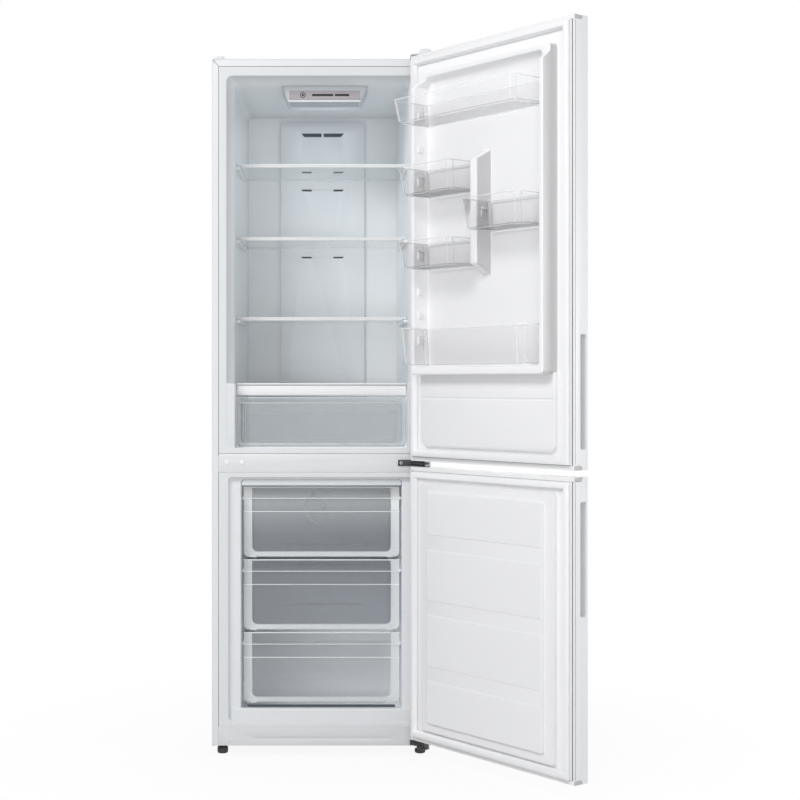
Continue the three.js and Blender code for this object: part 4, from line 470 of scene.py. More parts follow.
FINISHES = {
    "enamel": enamel,
    "door_enamel": door_edge_enamel,
    "liner": liner_with_painted_light,
    "door_liner": door_liner_with_painted_shade,
    "trim": lambda: moulded("white_moulding", colours().trim),
    "cap": lambda: moulded("grey_moulding", colours().cap),
    "door_panel": door_panel_painted_shade,
    "shelf_trim": lambda: moulded("shelf_moulding", colours().shelf_trim),
    "duct": lambda: moulded("duct_moulding", colours().duct, 0.36),
    # painted shadow: dark plates where only shade is seen, behind the vents and under the lowest drawer
    "duct_inside": lambda: moulded("duct_inside", linear(80, 86, 94), 0.6),
    # dark hairline joints, and painted shadow along narrow grooves
    "joint_and_groove_shadow": lambda: moulded("joint_and_groove_shadow", linear(112, 114, 118), 0.7),
    "coil_cover": coil_cover_with_painted_light,
    "housing": lambda: moulded("housing_moulding", linear(214, 218, 222)),
    # painted shade: the diffuser is drawn grey to match the shade under the ceiling
    "diffuser": lambda: moulded("diffuser_painted_shade", linear(190, 196, 202)),
    "kick": lambda: moulded("kick_moulding", linear(224, 225, 226)),
    "tray": lambda: clear_plastic("tray_plastic", colours().tray, 0.05),
    "tray_floor": lambda: clear_plastic("tray_floor_plastic", linear(240, 241, 243), 0.18),
    "tray_rim": lambda: clear_plastic("tray_rim_painted_highlight", linear(252, 252, 253), 0.5),
    # painted shade along the trays' edges
    "tray_line": lambda: clear_plastic("tray_line_painted_shade", linear(176, 178, 182), 0.5),
    "handle": lambda: moulded("handle_moulding", linear(226, 227, 228)),
    # painted shade at the ends of the doors' end caps
    "pad": lambda: moulded("cap_end_painted_shade", linear(188, 189, 190)),
    "drawer": lambda: drawer_plastic_painted_light("drawer_plastic_painted_light", linear(176, 183, 190), 0.12),
    "drawer_face": lambda: drawer_plastic_painted_light("drawer_face_painted_light", colours().drawer, 0.2),
    "drawer_rim": lambda: clear_plastic("drawer_rim_painted_highlight", linear(250, 251, 252), 0.86, 0.2),
    "crisper": lambda: clear_plastic("crisper_plastic", colours().crisper, 0.28, 0.14),
    "crisper_rim": lambda: clear_plastic("crisper_rim_plastic", linear(249, 251, 252), 0.75, 0.16),
    "strip": lambda: clear_plastic("strip_plastic", colours().glass, 0.07, 0.3),
    "glass": shelf_glass,
    "display": display_window,
    "mark": display_mark,
    "lamp": lamp_diffuser,
    "seal": seal_rubber,
    "black": black_plastic,
    "black_steel": black_steel,
    "zinc": bright_zinc,
    "galvanised": galvanised,
    "aluminium": fin_aluminium,
    "copper": copper_pipe,
    "foam": insulating_foam,
}
made_finishes = {}


def finish_named(name):
    if name not in made_finishes:
        made_finishes[name] = FINISHES[name]().material
    return made_finishes[name]


# ---------------------------------------------------------------------------------------------
# Shapes, in millimetres
# ---------------------------------------------------------------------------------------------


def up(a, b, level):
    return Vector((a, b, level))


def back(a, b, level):
    return Vector((a, level, b))


def across(a, b, level):
    return Vector((level, a, b))


def shrunk(span, by):
    return span[0] + by, span[1] - by


def ring(a, b, radius=0.0, steps=CORNER_STEPS):
    """Points round a rectangle with rounded corners, from the lower left corner."""
    radii = radius if isinstance(radius, tuple) else (radius,) * 4
    corners = (
        (a[0], b[0], 1, 1, 180), (a[1], b[0], -1, 1, 270),
        (a[1], b[1], -1, -1, 0), (a[0], b[1], 1, -1, 90),
    )
    points = []
    for (edge_a, edge_b, to_a, to_b, start), size in zip(corners, radii):
        size = max(size, TINY)
        for step in range(steps + 1):
            turn = math.radians(start + 90 * step / steps)
            points.append((
                edge_a + to_a * size + size * math.cos(turn),
                edge_b + to_b * size + size * math.sin(turn),
            ))
    return points


def lessened(radius, by):
    if isinstance(radius, tuple):
        return tuple(max(size - by, TINY) for size in radius)
    return max(radius - by, TINY)


def join(mesh, loops, around=False):
    """Faces between loops of points; both ends are closed flat, or meet each other."""
    pairs = list(zip(loops, loops[1:]))
    if around:
        pairs.append((loops[-1], loops[0]))
    for low, high in pairs:
        for index in range(len(low)):
            following = (index + 1) % len(low)
            mesh.faces.new((low[index], low[following], high[following], high[index]))
    if not around:
        mesh.faces.new(loops[0][::-1])
        mesh.faces.new(loops[-1])


def skin(mesh, rings, place=up, around=False):
    """Joins rings of (level, points) into one skin."""
    loops = [[mesh.verts.new(place(a, b, level)) for a, b in points] for level, points in rings]
    join(mesh, loops, around)


def border(mesh, outer, inner, levels):
    """An upright band between two outlines, from one depth to another."""
    front, rear = levels
    rings = [(front, outer), (front, inner), (rear, inner), (rear, outer)]
    skin(mesh, rings, back, around=True)


def circle(centre, radius, sides=32):
    turns = [math.tau * side / sides for side in range(sides)]
    return [(centre[0] + radius * math.cos(t), centre[1] + radius * math.sin(t)) for t in turns]


def slab(mesh, a, b, levels, radius=0.0, edge=0.8, place=up):
    """A rounded rectangle with thickness; its edges at both ends are rounded too."""
    edge = min(edge, (levels[1] - levels[0]) / 2.05, (a[1] - a[0]) / 2.05, (b[1] - b[0]) / 2.05)
    rings = []
    for step in range(EDGE_STEPS + 1):
        turn = math.radians(90 * step / EDGE_STEPS)
        inset = edge * (1 - math.sin(turn))
        outline = ring(shrunk(a, inset), shrunk(b, inset), lessened(radius, inset - edge * 0.5))
        rings.append((edge * (1 - math.cos(turn)), outline))
    low = [(levels[0] + rise, outline) for rise, outline in rings]
    high = [(levels[1] - rise, outline) for rise, outline in reversed(rings)]
    skin(mesh, low + high, place)


def turned(mesh, profile, centre, place=up, sides=32, around=False):
    """A round solid from (radius, level) points, or a wheel when the last meets the first."""
    skin(mesh, [(level, circle(centre, radius, sides)) for radius, level in profile], place, around)


def tube(mesh, points, radius, sides=12):
    """A round bar through points."""
    line = [Vector(point) for point in points]
    loops = []
    side = Vector((0, 0, 1)).cross(line[1] - line[0])
    if side.length < 1e-3:
        side = Vector((1, 0, 0))
    for index, point in enumerate(line):
        before = line[max(index - 1, 0)]
        after = line[min(index + 1, len(line) - 1)]
        along = (after - before).normalized()
        side = (side - along * side.dot(along)).normalized()
        other = along.cross(side)
        loops.append([
            mesh.verts.new(point + radius * (math.cos(t) * side + math.sin(t) * other))
            for t in (math.tau * corner / sides for corner in range(sides))
        ])
    join(mesh, loops)


def bend(points, steps=8):
    """A smooth line through points."""
    line = [Vector(point) for point in points]
    padded = [2 * line[0] - line[1], *line, 2 * line[-1] - line[-2]]
    smooth = []
    for a, b, c, d in zip(padded, padded[1:], padded[2:], padded[3:]):
        for step in range(steps):
            t = step / steps
            smooth.append(0.5 * (
                2 * b + (c - a) * t + (2 * a - 5 * b + 4 * c - d) * t * t
                + (3 * b - a - 3 * c + d) * t ** 3
            ))
    return smooth + [line[-1]]


def shade(mesh):
    """Smooth faces, with the sharp edges kept."""
    for face in mesh.faces:
        face.smooth = True
    for edge in mesh.edges:
        edge.smooth = not edge.is_boundary and edge.calc_face_angle(math.pi) < CREASE


def as_object(name, mesh):
    """A new object in the scene with a drawing as its mesh."""
    shade(mesh)
    data = bpy.data.meshes.new(name)
    mesh.to_mesh(data)
    mesh.free()
    piece = bpy.data.objects.new(name, data)
    bpy.context.scene.collection.objects.link(piece)
    return piece


def placed(name, mesh, on_door=False):
    """Puts a drawing into the part's frame, opened with its door, and makes it an object."""
    place = Matrix.Translation(SHIFT) @ Matrix.Scale(MM, 4)
    if on_door:
        place = SWUNG @ place
    bmesh.ops.transform(mesh, matrix=place, verts=mesh.verts)
    bmesh.ops.remove_doubles(mesh, verts=mesh.verts, dist=SAME_POINT)
    bmesh.ops.recalc_face_normals(mesh, faces=mesh.faces)
    return as_object(name, mesh)


def dressed_copy(name, node, edge):
    """A copy of a node's solid with its edges rounded."""
    mesh = bmesh.new()
    mesh.from_mesh(frame["nodes"][node].data)
    bmesh.ops.remove_doubles(mesh, verts=mesh.verts, dist=10 * SAME_POINT)
    bmesh.ops.dissolve_limit(
        mesh, angle_limit=math.radians(0.6), verts=mesh.verts, edges=mesh.edges,
    )
    sharp = [
        line for line in mesh.edges
        if line.is_manifold and line.calc_face_angle(0.0) > math.radians(38)
    ]
    bmesh.ops.bevel(
        mesh, geom=sharp, offset=edge * MM, segments=2, profile=0.5,
        affect="EDGES", clamp_overlap=True,
    )
    return as_object(name, mesh)


def applied(piece):
    """The piece with its modifiers worked into its mesh."""
    bpy.context.view_layer.update()
    evaluated = piece.evaluated_get(bpy.context.evaluated_depsgraph_get())
    data = bpy.data.meshes.new_from_object(evaluated)
    data.name = piece.name
    piece.modifiers.clear()
    piece.data = data
    return piece


def carved(piece, cutters):
    """Cuts other drawings out of a piece."""
    for cutter in cutters:
        cut = piece.modifiers.new("cut", "BOOLEAN")
        cut.operation = "DIFFERENCE"
        cut.solver = "EXACT"
        cut.object = cutter
    applied(piece)
    for cutter in cutters:
        bpy.data.objects.remove(cutter)
    mesh = bmesh.new()
    mesh.from_mesh(piece.data)
    shade(mesh)
    mesh.to_mesh(piece.data)
    mesh.free()
    return piece


LETS_LIGHT_THROUGH = ("drawer", "strip", "glass")  # how these finishes' names start


def paint(piece, finish):
    piece.data.materials.clear()
    piece.data.materials.append(finish_named(finish))


def hand_over(piece, body, finish, slot, *nodes):
    """Gives a piece its finish, the body it rides on and the nodes that it stands for."""
    paint(piece, finish)
    piece.visible_shadow = not finish.startswith(LETS_LIGHT_THROUGH)
    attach(piece, body)
    if nodes:
        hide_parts(*nodes)
    return piece


def add(name, mesh, body, finish, slot, *nodes):
    """Hands a drawing over as a piece; what hangs on a door is opened with it."""
    on_door = body.endswith(("_door", "_tray"))
    return hand_over(placed(name, mesh, on_door), body, finish, slot, *nodes)


def keep(node, finish):
    """Keeps a node's own solid under a better finish."""
    paint(frame["nodes"][node], finish)


# ---------------------------------------------------------------------------------------------
# Repeated pieces: copies in a row
# ---------------------------------------------------------------------------------------------


def row_tree():
    """A node tree that sets copies of its mesh in a row."""
    name = "copies_in_a_row"
    if name in bpy.data.node_groups:
        return bpy.data.node_groups[name]
    tree = bpy.data.node_groups.new(name, "GeometryNodeTree")
    face = tree.interface
    face.new_socket("Piece", in_out="INPUT", socket_type="NodeSocketGeometry")
    face.new_socket("Count", in_out="INPUT", socket_type="NodeSocketInt")
    face.new_socket("Step", in_out="INPUT", socket_type="NodeSocketVector")
    face.new_socket("Finish", in_out="INPUT", socket_type="NodeSocketMaterial")
    face.new_socket("Row", in_out="OUTPUT", socket_type="NodeSocketGeometry")
    nodes = Nodes(tree)
    piece, count, step, finish = (
        nodes.node("NodeGroupInput", {}, {}, name) for name in ("Piece", "Count", "Step", "Finish")
    )
    points = nodes.node("GeometryNodeMeshLine", {"mode": "OFFSET"}, {"Count": count, "Offset": step})
    row = nodes.node("GeometryNodeInstanceOnPoints", {}, {"Points": points, "Instance": piece})
    row = nodes.node("GeometryNodeRealizeInstances", {}, {"Geometry": row})
    row = nodes.node("GeometryNodeSetMaterial", {}, {"Geometry": row, "Material": finish})
    nodes.node("NodeGroupOutput", {}, {"Row": row})
    return tree


def in_a_row(piece, count, step, finish):
    """Copies of a piece, each a step (in metres) from the last, worked into one mesh."""
    tree = row_tree()
    modifier = piece.modifiers.new("row", "NODES")
    modifier.node_group = tree
    sockets = {
        item.name: item.identifier for item in tree.interface.items_tree
        if item.item_type == "SOCKET" and item.in_out == "INPUT"
    }
    modifier[sockets["Count"]] = count
    modifier[sockets["Step"]] = step
    modifier[sockets["Finish"]] = finish_named(finish)
    return applied(piece)


# ---------------------------------------------------------------------------------------------
# The case and its liners
# ---------------------------------------------------------------------------------------------

SIDE_FLANGE = 17.4
TOP_FLANGE = 19.6
STEEL = 1.0
SEAM = 1.3  # groove between the folded steel and a liner's edge
SHADE_TAPE = (0.35, 0.75)  # the dark tape under a groove, behind the steel; it is also painted shade that darkens the groove
LEDGE = (228.4, 241.5)  # a shelf's ledge, out from the cabinet's middle
RUNNER = (206.7, 219.0)  # a freezer drawer's runner
LEDGE_HEIGHT = 9.5


def arc(radius, steps=5):
    """Insets and levels of a quarter round, from its foot to its top."""
    turns = [math.radians(90 * step / steps) for step in range(steps + 1)]
    return [(radius * (1 - math.sin(t)), radius * (1 - math.cos(t))) for t in turns]


def draw_case():
    """Sheet bent over both sides and the top, with a narrow return round the front."""
    mesh = bmesh.new()
    round_edge = 1.6
    outer = [(0.0, DEPTH)]
    outer += [(inset, level) for level, inset in reversed(arc(round_edge))]
    outer += [(SIDE_FLANGE, 0.0)]
    inner = [(SIDE_FLANGE, STEEL), (STEEL, STEEL), (STEEL, DEPTH)]
    corner = sizes().case_corner / MM
    notch = box_mm("bottom_hinge")[2][0] + 10.2
    loops = []
    for inset, y in outer + inner:
        share = inset * (TOP_FLANGE / SIDE_FLANGE if inset > corner else 1.0)
        x, top = HALF - inset, TOP - share
        radius = max(corner - inset, TINY)
        path = [(-x, BOTTOM)]
        for side, start in ((-1, 180), (1, 90)):
            for step in range(5):
                turn = math.radians(start - 90 * step / 4)
                path.append((
                    side * (x - radius) + radius * math.cos(turn),
                    top - radius + radius * math.sin(turn),
                ))
        path.append((x, notch if inset > 2 else BOTTOM))
        loops.append([mesh.verts.new((px, y, pz)) for px, pz in path])
    for low, high in zip(loops, loops[1:] + loops[:1]):
        for index in range(len(low) - 1):
            mesh.faces.new((low[index], low[index + 1], high[index + 1], high[index]))
    mesh.faces.new([loop[0] for loop in loops])
    mesh.faces.new([loop[-1] for loop in loops][::-1])
    return mesh


def draw_mitres():
    """Hairline joints of the folded front at its two upper corners."""
    mesh = bmesh.new()
    for side in (-1, 1):
        start, end = (HALF - 1.8, TOP - 1.8), (HALF - SIDE_FLANGE, TOP - TOP_FLANGE)
        line = [(side * a, b) for a, b in (
            start, end, (end[0] - 0.9, end[1] + 0.9), (start[0] - 0.9, start[1] + 0.9),
        )]
        skin(mesh, [(-0.04, line), (0.4, line)], back)
    return mesh


def draw_sill_shadow():
    """Dark strip in the gap under the lowest drawer: painted shadow."""
    mesh = bmesh.new()
    x, _, z = box_mm("lower_freezer_drawer")
    slab(mesh, shrunk(x, 14), (z[0] - 7.5, z[0] - 0.4), (31.0, 33.0), 1.0, 0.4, back)
    return mesh


def draw_caps():
    """Small domed caps on the crossbar's left end, over its screws."""
    mesh = bmesh.new()
    z = box_mm("mid_crossbar")[2]
    level = (z[0] + z[1]) / 2 + 0.8
    edge = HALF - SIDE_FLANGE
    for a in (22.5 - edge, 64.5 - edge):
        profile = [(6.6, 0.4), (6.6, -0.2), (6.2, -1.0), (5.0, -1.9), (3.0, -2.5), (1.0, -2.7)]
        turned(mesh, profile, (a, level), back, 28)
    return mesh


def draw_seam_tape_and_shade():
    """Dark tape under the groove round the liners, also painted shade that darkens the groove."""
    mesh = bmesh.new()
    depth = (STEEL + 0.05, STEEL + 0.25)
    for side in (-1, 1):
        x = sorted((side * (HALF - SIDE_FLANGE - SEAM + 0.1), side * (HALF - SIDE_FLANGE + 3)))
        slab(mesh, x, (BOTTOM + 4, TOP - TOP_FLANGE), depth, 0.0, 0.05, back)
    z = (TOP - TOP_FLANGE - SEAM + 0.1, TOP - TOP_FLANGE + 3)
    slab(mesh, shrunk((-HALF, HALF), SIDE_FLANGE - 2), z, depth, 0.0, 0.05, back)
    return mesh


def compartment(mesh, flange, spaces, wall=2.0):
    """A formed liner: a flat flange, then rings of (half width, low, high, radius, depth)."""
    def outline(half, low, high, radius, grow):
        return ring((-half - grow, half + grow), (low - grow, high + grow), radius + grow)

    inner = [(y, outline(half, low, high, radius, 0.0)) for half, low, high, radius, y in spaces]
    outer = []
    for index, (half, low, high, radius, y) in enumerate(spaces):
        behind = y + (wall if index == len(spaces) - 1 or y < wall else 0.4 * wall)
        outer.append((behind, outline(half, low, high, radius, wall)))
    half, low, high = flange
    edge_front = (0.0, outline(half, low, high, 1.0, 0.0))
    edge_back = (wall, outline(half, low, high, 1.0, 0.0))
    skin(mesh, inner[::-1] + [edge_front, edge_back] + outer, back)


def eased(first, last, share):
    return tuple(a + (b - a) * share for a, b in zip(first, last))


def fridge_spaces():
    low_z, high_z = box_mm("mid_crossbar")[2][1] + 15.5, TOP - 46
    mouth = (257.3, low_z, high_z, 17.0, 0.0)
    inner = (240.0, low_z - 2, high_z - 15, 16.0, 45.0)
    rear = (238.0, low_z - 2, high_z - 17, 15.0, 495.0)
    rows = [(mouth[0] + inset, mouth[1] - inset, mouth[2] + inset, 17 + inset, level)
            for inset, level in arc(2.6)]
    rows += [eased((*mouth[:4], 2.7), inner, share) for share in (0.25, 0.5, 0.75, 0.9, 1.0)]
    rows += [eased(inner, rear, share) for share in (0.05, 0.3, 0.6)]
    fillet = 14.0
    for level, inset in reversed(arc(fillet)):
        rows.append((rear[0] - inset, rear[1] + inset, rear[2] - inset, 16.0, 495.0 - level))
    return rows


def draw_fridge_liner():
    mesh = bmesh.new()
    low = box_mm("fridge_liner")[2][0]
    compartment(mesh, (HALF - SIDE_FLANGE - SEAM, low, TOP - TOP_FLANGE - SEAM), fridge_spaces())
    for node in ("lower_shelf_trim", "middle_shelf_trim", "upper_shelf_trim"):
        top = box_mm(node)[2][0] - SEAT
        for side in (-1, 1):
            x = sorted((side * LEDGE[0], side * LEDGE[1]))
            slab(mesh, x, (top - LEDGE_HEIGHT, top), (120, 452), 4.0, 2.0, back)
    cover_top = box_mm("crisper_cover_glass")[2][0] - SEAT
    crisper = box_mm("crisper_drawer")[0][1]
    foot = box_mm("mid_crossbar")[2][1] + 12
    for side in (-1, 1):
        x = sorted((side * LEDGE[0], side * LEDGE[1]))
        slab(mesh, x, (cover_top - LEDGE_HEIGHT, cover_top), (79, 462), 4.0, 2.0, back)
        x = sorted((side * (crisper + 2.5), side * 259.0))
        slab(mesh, x, (foot, cover_top + 4), (0.5, 75), 3.0, 2.6, back)
        ledge = sorted((side * (crisper - 5), side * (crisper + 6)))
        slab(mesh, ledge, (foot, cover_top - 33), (56.5, 75), 2.0, 0.8, back)
        rail_x = sorted((side * 150, side * 162))
        floor = box_mm("crisper_drawer")[2][0] - SEAT
        slab(mesh, rail_x, (floor - 5, floor), (72, 418), 1.5, 1.2, back)
    slab(mesh, (-crisper - 4, crisper + 4), (foot, floor - 0.5), (44, 66), 1.0, 0.6, back)
    return mesh


def freezer_spaces():
    low_z, high_z = box_mm("kick_panel")[2][1] + 13, box_mm("mid_crossbar")[2][0] - 14
    rows = [(252.5 + inset, low_z - inset, high_z + inset, 10 + inset, level)
            for inset, level in arc(2.2)]
    rows += [(250.4, low_z + 2.1, high_z - 2.1, 10.0, 13.0)]
    rows += [(249.0, low_z + 3.0, high_z - 3.0, 10.0, 14.8)]
    rows += [(247.4, low_z + 3.6, high_z - 3.6, 10.0, 15.4)]
    floor, ceiling = low_z + 17, high_z - 7
    lip = 3.2
    rows += [(219.5 + inset, floor - inset, ceiling + inset, 10 + inset, 16.5 + level)
             for inset, level in arc(lip)]
    rows += [eased((219.3, floor, ceiling, 10.0, 24.0), (217.4, floor, ceiling, 10.0, 330.0), share)
             for share in (0.0, 0.5, 1.0)]
    return rows, floor, ceiling


def draw_freezer_liner():
    """The freezer's walls, with the step over the machine compartment at the back."""
    mesh = bmesh.new()
    rows, floor, ceiling = freezer_spaces()
    step_front = 340.0
    step_top = box_mm("evaporator_cover")[2][0] - SEAT
    rows.append((217.2, floor, ceiling, 10.0, step_front - 0.5))
    rows.append((217.2, step_top, ceiling, 10.0, step_front))
    rows += [(216.8, step_top, ceiling, 10.0, 460.0), (214.0, step_top + 2, ceiling - 3, 9.0, 470.0)]
    flange_z = box_mm("freezer_liner")[2]
    compartment(mesh, (HALF - SIDE_FLANGE - SEAM, *flange_z), rows)
    foot = box_mm("lower_freezer_drawer")[2][0]
    slab(mesh, (-246.5, 246.5), (rows[0][1] + 2, foot - 7.0), (10.5, 30.0), 7.0, 2.5, back)
    for name in ("lower", "middle", "upper"):
        top = box_mm(name + "_freezer_drawer")[2][1] - 28 - SEAT
        for side in (-1, 1):
            x = sorted((side * RUNNER[0], side * RUNNER[1]))
            slab(mesh, x, (top - LEDGE_HEIGHT, top), (60, 400), 3.0, 1.5, back)
    return mesh


# ---------------------------------------------------------------------------------------------
# Inside the cabinet
# ---------------------------------------------------------------------------------------------


def draw_panel_housing():
    """The control panel's housing: its ends slope and its front leans."""
    mesh = bmesh.new()
    x, y, z = box_mm("control_panel_housing")
    rings = []
    steps = ((z[0], 18.5), (z[0] + 1.2, 17.0), (z[0] + 3, 16.2), (z[1] - 10, 4.0), (z[1], 0.0))
    for level, inset in steps:
        lean = 3.5 * (z[1] - level) / (z[1] - z[0])
        rings.append((level, ring(shrunk(x, inset), (y[0] + lean, y[1] - lean), 12.0)))
    skin(mesh, rings)
    return mesh


LAMP_STRIP = 5.5  # height of the bright edge under the display's window


def draw_display_window():
    mesh = bmesh.new()
    x, y, z = box_mm("control_panel_lens")
    slab(mesh, x, (z[0] + LAMP_STRIP, z[1]), (y[0] + 0.6, y[0] + 5), 1.2, 0.6, back)
    return mesh


def draw_lamp():
    """Bright edge of the diffuser under the window."""
    mesh = bmesh.new()
    x, y, z = box_mm("control_panel_lens")
    slab(mesh, shrunk(x, -1.5), (z[0] + 0.4, z[0] + 4.4), (y[0] + 0.2, y[0] + 7), 1.6, 1.2, back)
    return mesh


def draw_diffuser():
    """Diffuser on the housing's underside, drawn grey as painted shade so it reads as shaded as the
    ceiling beside it.
    """
    mesh = bmesh.new()
    x, y, z = box_mm("control_panel_lens")
    slab(mesh, shrunk(x, 2), (y[0] + 7.3, y[1]), (z[0], z[0] + 2.2), 3.0, 0.8)
    return mesh


def draw_display_marks():
    """Two plain bars of indicators and the ring of the setting button."""
    mesh = bmesh.new()
    x, y, z = box_mm("control_panel_lens")
    middle = z[0] + LAMP_STRIP + (z[1] - z[0] - LAMP_STRIP) * 0.52
    front = y[0] + 0.25
    levels = (front, front + 1)
    for a, b in ((63.5, 122.0), (126.5, 166.0)):
        slab(mesh, (x[0] + a, x[0] + b), (middle - 3.0, middle + 3.0), levels, 0.5, 0.2, back)
    button = (x[0] + 38, middle)
    for radius, width in ((7.6, 1.8), (3.2, 2.4)):
        border(mesh, circle(button, radius), circle(button, radius - width), levels)
    return mesh


def draw_shelf_bar(node):
    """A shelf's front bar, with a rounded nose."""
    mesh = bmesh.new()
    x, y, z = box_mm(node)
    front = [
        (y[0] + 3.2, z[0]), (y[0] + 1.0, z[0] + 0.9), (y[0], z[0] + 2.6), (y[0], z[1] - 2.2),
        (y[0] + 0.8, z[1] - 0.6), (y[0] + 2.6, z[1]), (y[0] + 24.2, z[1]),
        (y[0] + 25.0, z[1] - 0.8), (y[0] + 25.0, z[0] + 0.8), (y[0] + 24.2, z[0]),
    ]
    skin(mesh, [(x[0] + 0.4, front), (x[1] - 0.4, front)], across)
    slab(mesh, shrunk(x, 11), (z[0] - 3.2, z[0] + 2), (y[0], y[0] + 5), 1.0, 0.8, back)
    return mesh


def draw_shelf_strips(node):
    """The thin strips along a shelf's sides and its back."""
    mesh = bmesh.new()
    x, y, z = box_mm(node)
    slab(mesh, x, (y[1] - 15, y[1]), z, 3.0, 1.2)
    for side in (0, 1):
        strip = (x[0], x[0] + 9) if side == 0 else (x[1] - 9, x[1])
        slab(mesh, strip, (y[0] + 20, y[1] - 10), z, 0.5, 1.0)
    return mesh


def draw_glass(node):
    mesh = bmesh.new()
    x, y, z = box_mm(node)
    slab(mesh, x, y, z, 1.0, 0.6)
    return mesh


def tub(mesh, x, y, z, corner):
    """An open tub that narrows to its rounded foot, with a rounded rim."""
    taper, wall, foot, rim = 6.0, 2.5, 8.0, 1.2

    def layer(level, share, inward, lift=0.0):
        side = taper * share + lift + inward
        b = (y[0] + lift + inward, y[1] - side)
        return level, ring(shrunk(x, side), b, max(corner - inward, 1.0))

    rings = []
    for inset, level in arc(foot):
        rings.append(layer(z[0] + level, 1.0, 0.0, inset))
    rings.append(layer(z[1] - rim, 0.0, 0.0))
    rings.append(layer(z[1], 0.0, wall * 0.5))
    rings.append(layer(z[1] - rim, 0.0, wall))
    for inset, level in reversed(arc(foot)):
        rings.append(layer(z[0] + wall + level, 1.0, wall, inset))
    skin(mesh, rings)


def draw_crisper():
    mesh = bmesh.new()
    x, y, z = box_mm("crisper_drawer")
    tub(mesh, shrunk(x, 16), (y[0] + 5.4, y[1]), (z[0], z[1] - 15), 16)
    return mesh


def draw_crisper_front():
    """The drawer's face."""
    mesh = bmesh.new()
    x, y, z = box_mm("crisper_drawer")
    slab(mesh, x, z, (y[0], y[0] + 2.4), (14.0, 14.0, 2.5, 2.5), 0.9, back)
    return mesh


def draw_crisper_rims():
    """The thick edges that catch the light: the face's border, its grip and the tub's rim."""
    mesh = bmesh.new()
    x, y, z = box_mm("crisper_drawer")
    outer = ring(shrunk(x, 1.2), (z[0] + 1.2, z[1] - 1.0), (13.0, 13.0, 1.5, 1.5))
    inner = ring(shrunk(x, 9.5), (z[0] + 9.5, z[1] - 4.0), (10.0, 10.0, 1.0, 1.0))
    border(mesh, outer, inner, (y[0] + 2.7, y[0] + 4.9))
    slab(mesh, shrunk(x, 10), (z[1] - 19.5, z[1] - 14.8), (y[0] + 5.1, y[0] + 12), 1.6, 1.4, back)
    slab(mesh, shrunk(x, 22), (z[1] - 47.2, z[1] - 45.8), (y[0] + 2.7, y[0] + 5.0), 0.6, 0.5, back)
    for side in (-1, 1):
        strip = sorted((side * (x[1] - 19), side * (x[1] - 7)))
        slab(mesh, strip, (y[0] + 6, y[1] - 2), (z[1] - 17.5, z[1] - 15), 0.8, 0.8)
        for inset in (17.5, 23.0):
            edge = x[1] - inset
            corner = [
                (side * a, y[0] + 6.4, b) for a, b in (
                    (edge, z[1] - 22), (edge, z[0] + 24), (edge - 2.4, z[0] + 14.5),
                    (edge - 12, z[0] + 11.5),
                )
            ]
            tube(mesh, bend(corner, 5), 0.9, 8)
    return mesh


GRIP_HIGH, GRIP_LOW = 33, 69  # the hand recess's edges, below a drawer's top


def draw_drawer_tub(node):
    mesh = bmesh.new()
    x, y, z = box_mm(node)
    tub(mesh, shrunk(x, 20), (y[0] + 17.6, y[1]), (z[0] + 6, z[1] - 25.5), 18)
    return mesh


def draw_drawer_front(node):
    """Clear face with a full width hand recess whose lips catch the light."""
    mesh = bmesh.new()
    x, y, z = box_mm(node)
    grip_high, grip_low = z[1] - GRIP_HIGH, z[1] - GRIP_LOW
    profile = [
        (y[0], z[1] - 1.0), (y[0], grip_high + 2.0), (y[0] + 0.8, grip_high),
        (y[0] + 9.0, grip_high - 2.0), (y[0] + 12.0, grip_high - 6.0), (y[0] + 12.0, grip_low + 7.0),
        (y[0] + 9.5, grip_low + 1.8), (y[0] + 0.8, grip_low), (y[0], grip_low - 2.0),
        (y[0], z[0] + 15.0),
    ]
    wall = 2.5
    inner = [(a + wall, b) for a, b in profile]
    outline = profile + inner[::-1]
    skin(mesh, [(x[0], outline), (x[1], outline)], across)
    slab(mesh, x, (z[0], z[0] + 15.4), (y[0], y[0] + wall), (14.0, 14.0, 0.0, 0.0), 0.7, back)
    return mesh


def draw_drawer_rims(node):
    """The thick edges of a drawer, drawn near white as painted highlight: its lips, the milky border
    behind its face and its feet.
    """
    mesh = bmesh.new()
    x, y, z = box_mm(node)
    grip_high, grip_low = z[1] - GRIP_HIGH, z[1] - GRIP_LOW
    slab(mesh, x, (z[1] - 2.4, z[1]), (y[0], y[0] + 6), 0.8, 0.8, back)
    for level in (grip_high, grip_low):
        lip = (level - 1.1, level + 1.1)
        slab(mesh, shrunk(x, 1), lip, (y[0] + 0.1, y[0] + 3.2), 0.8, 0.7, back)
    outer = ring(shrunk(x, 1.5), (z[0] + 1.0, z[1] - 3.0), (13.0, 13.0, 1.0, 1.0))
    inner = ring(shrunk(x, 24), (z[0] + 14.5, z[1] - 5.0), (15.0, 15.0, 0.5, 0.5))
    border(mesh, outer, inner, (y[0] + 14.8, y[0] + 17.2))
    for side in (-1, 1):
        rail = sorted((side * (x[1] - 22), side * (x[1] - 2)))
        slab(mesh, rail, (y[0] + 17.6, y[1] - 12), (z[1] - 28, z[1] - 25.5), 1.0, 0.8)
        foot = sorted((side * 178, side * 196))
        slab(mesh, foot, (y[0] + 2.8, y[0] + 14.4), (z[0], z[0] + 7), 2.0, 1.0)
    return mesh


# ---------------------------------------------------------------------------------------------
# Doors, drawn shut
# ---------------------------------------------------------------------------------------------

HEM = 6.0
CAP_REVEAL = 27.0
CAP_HEIGHT = 11.0


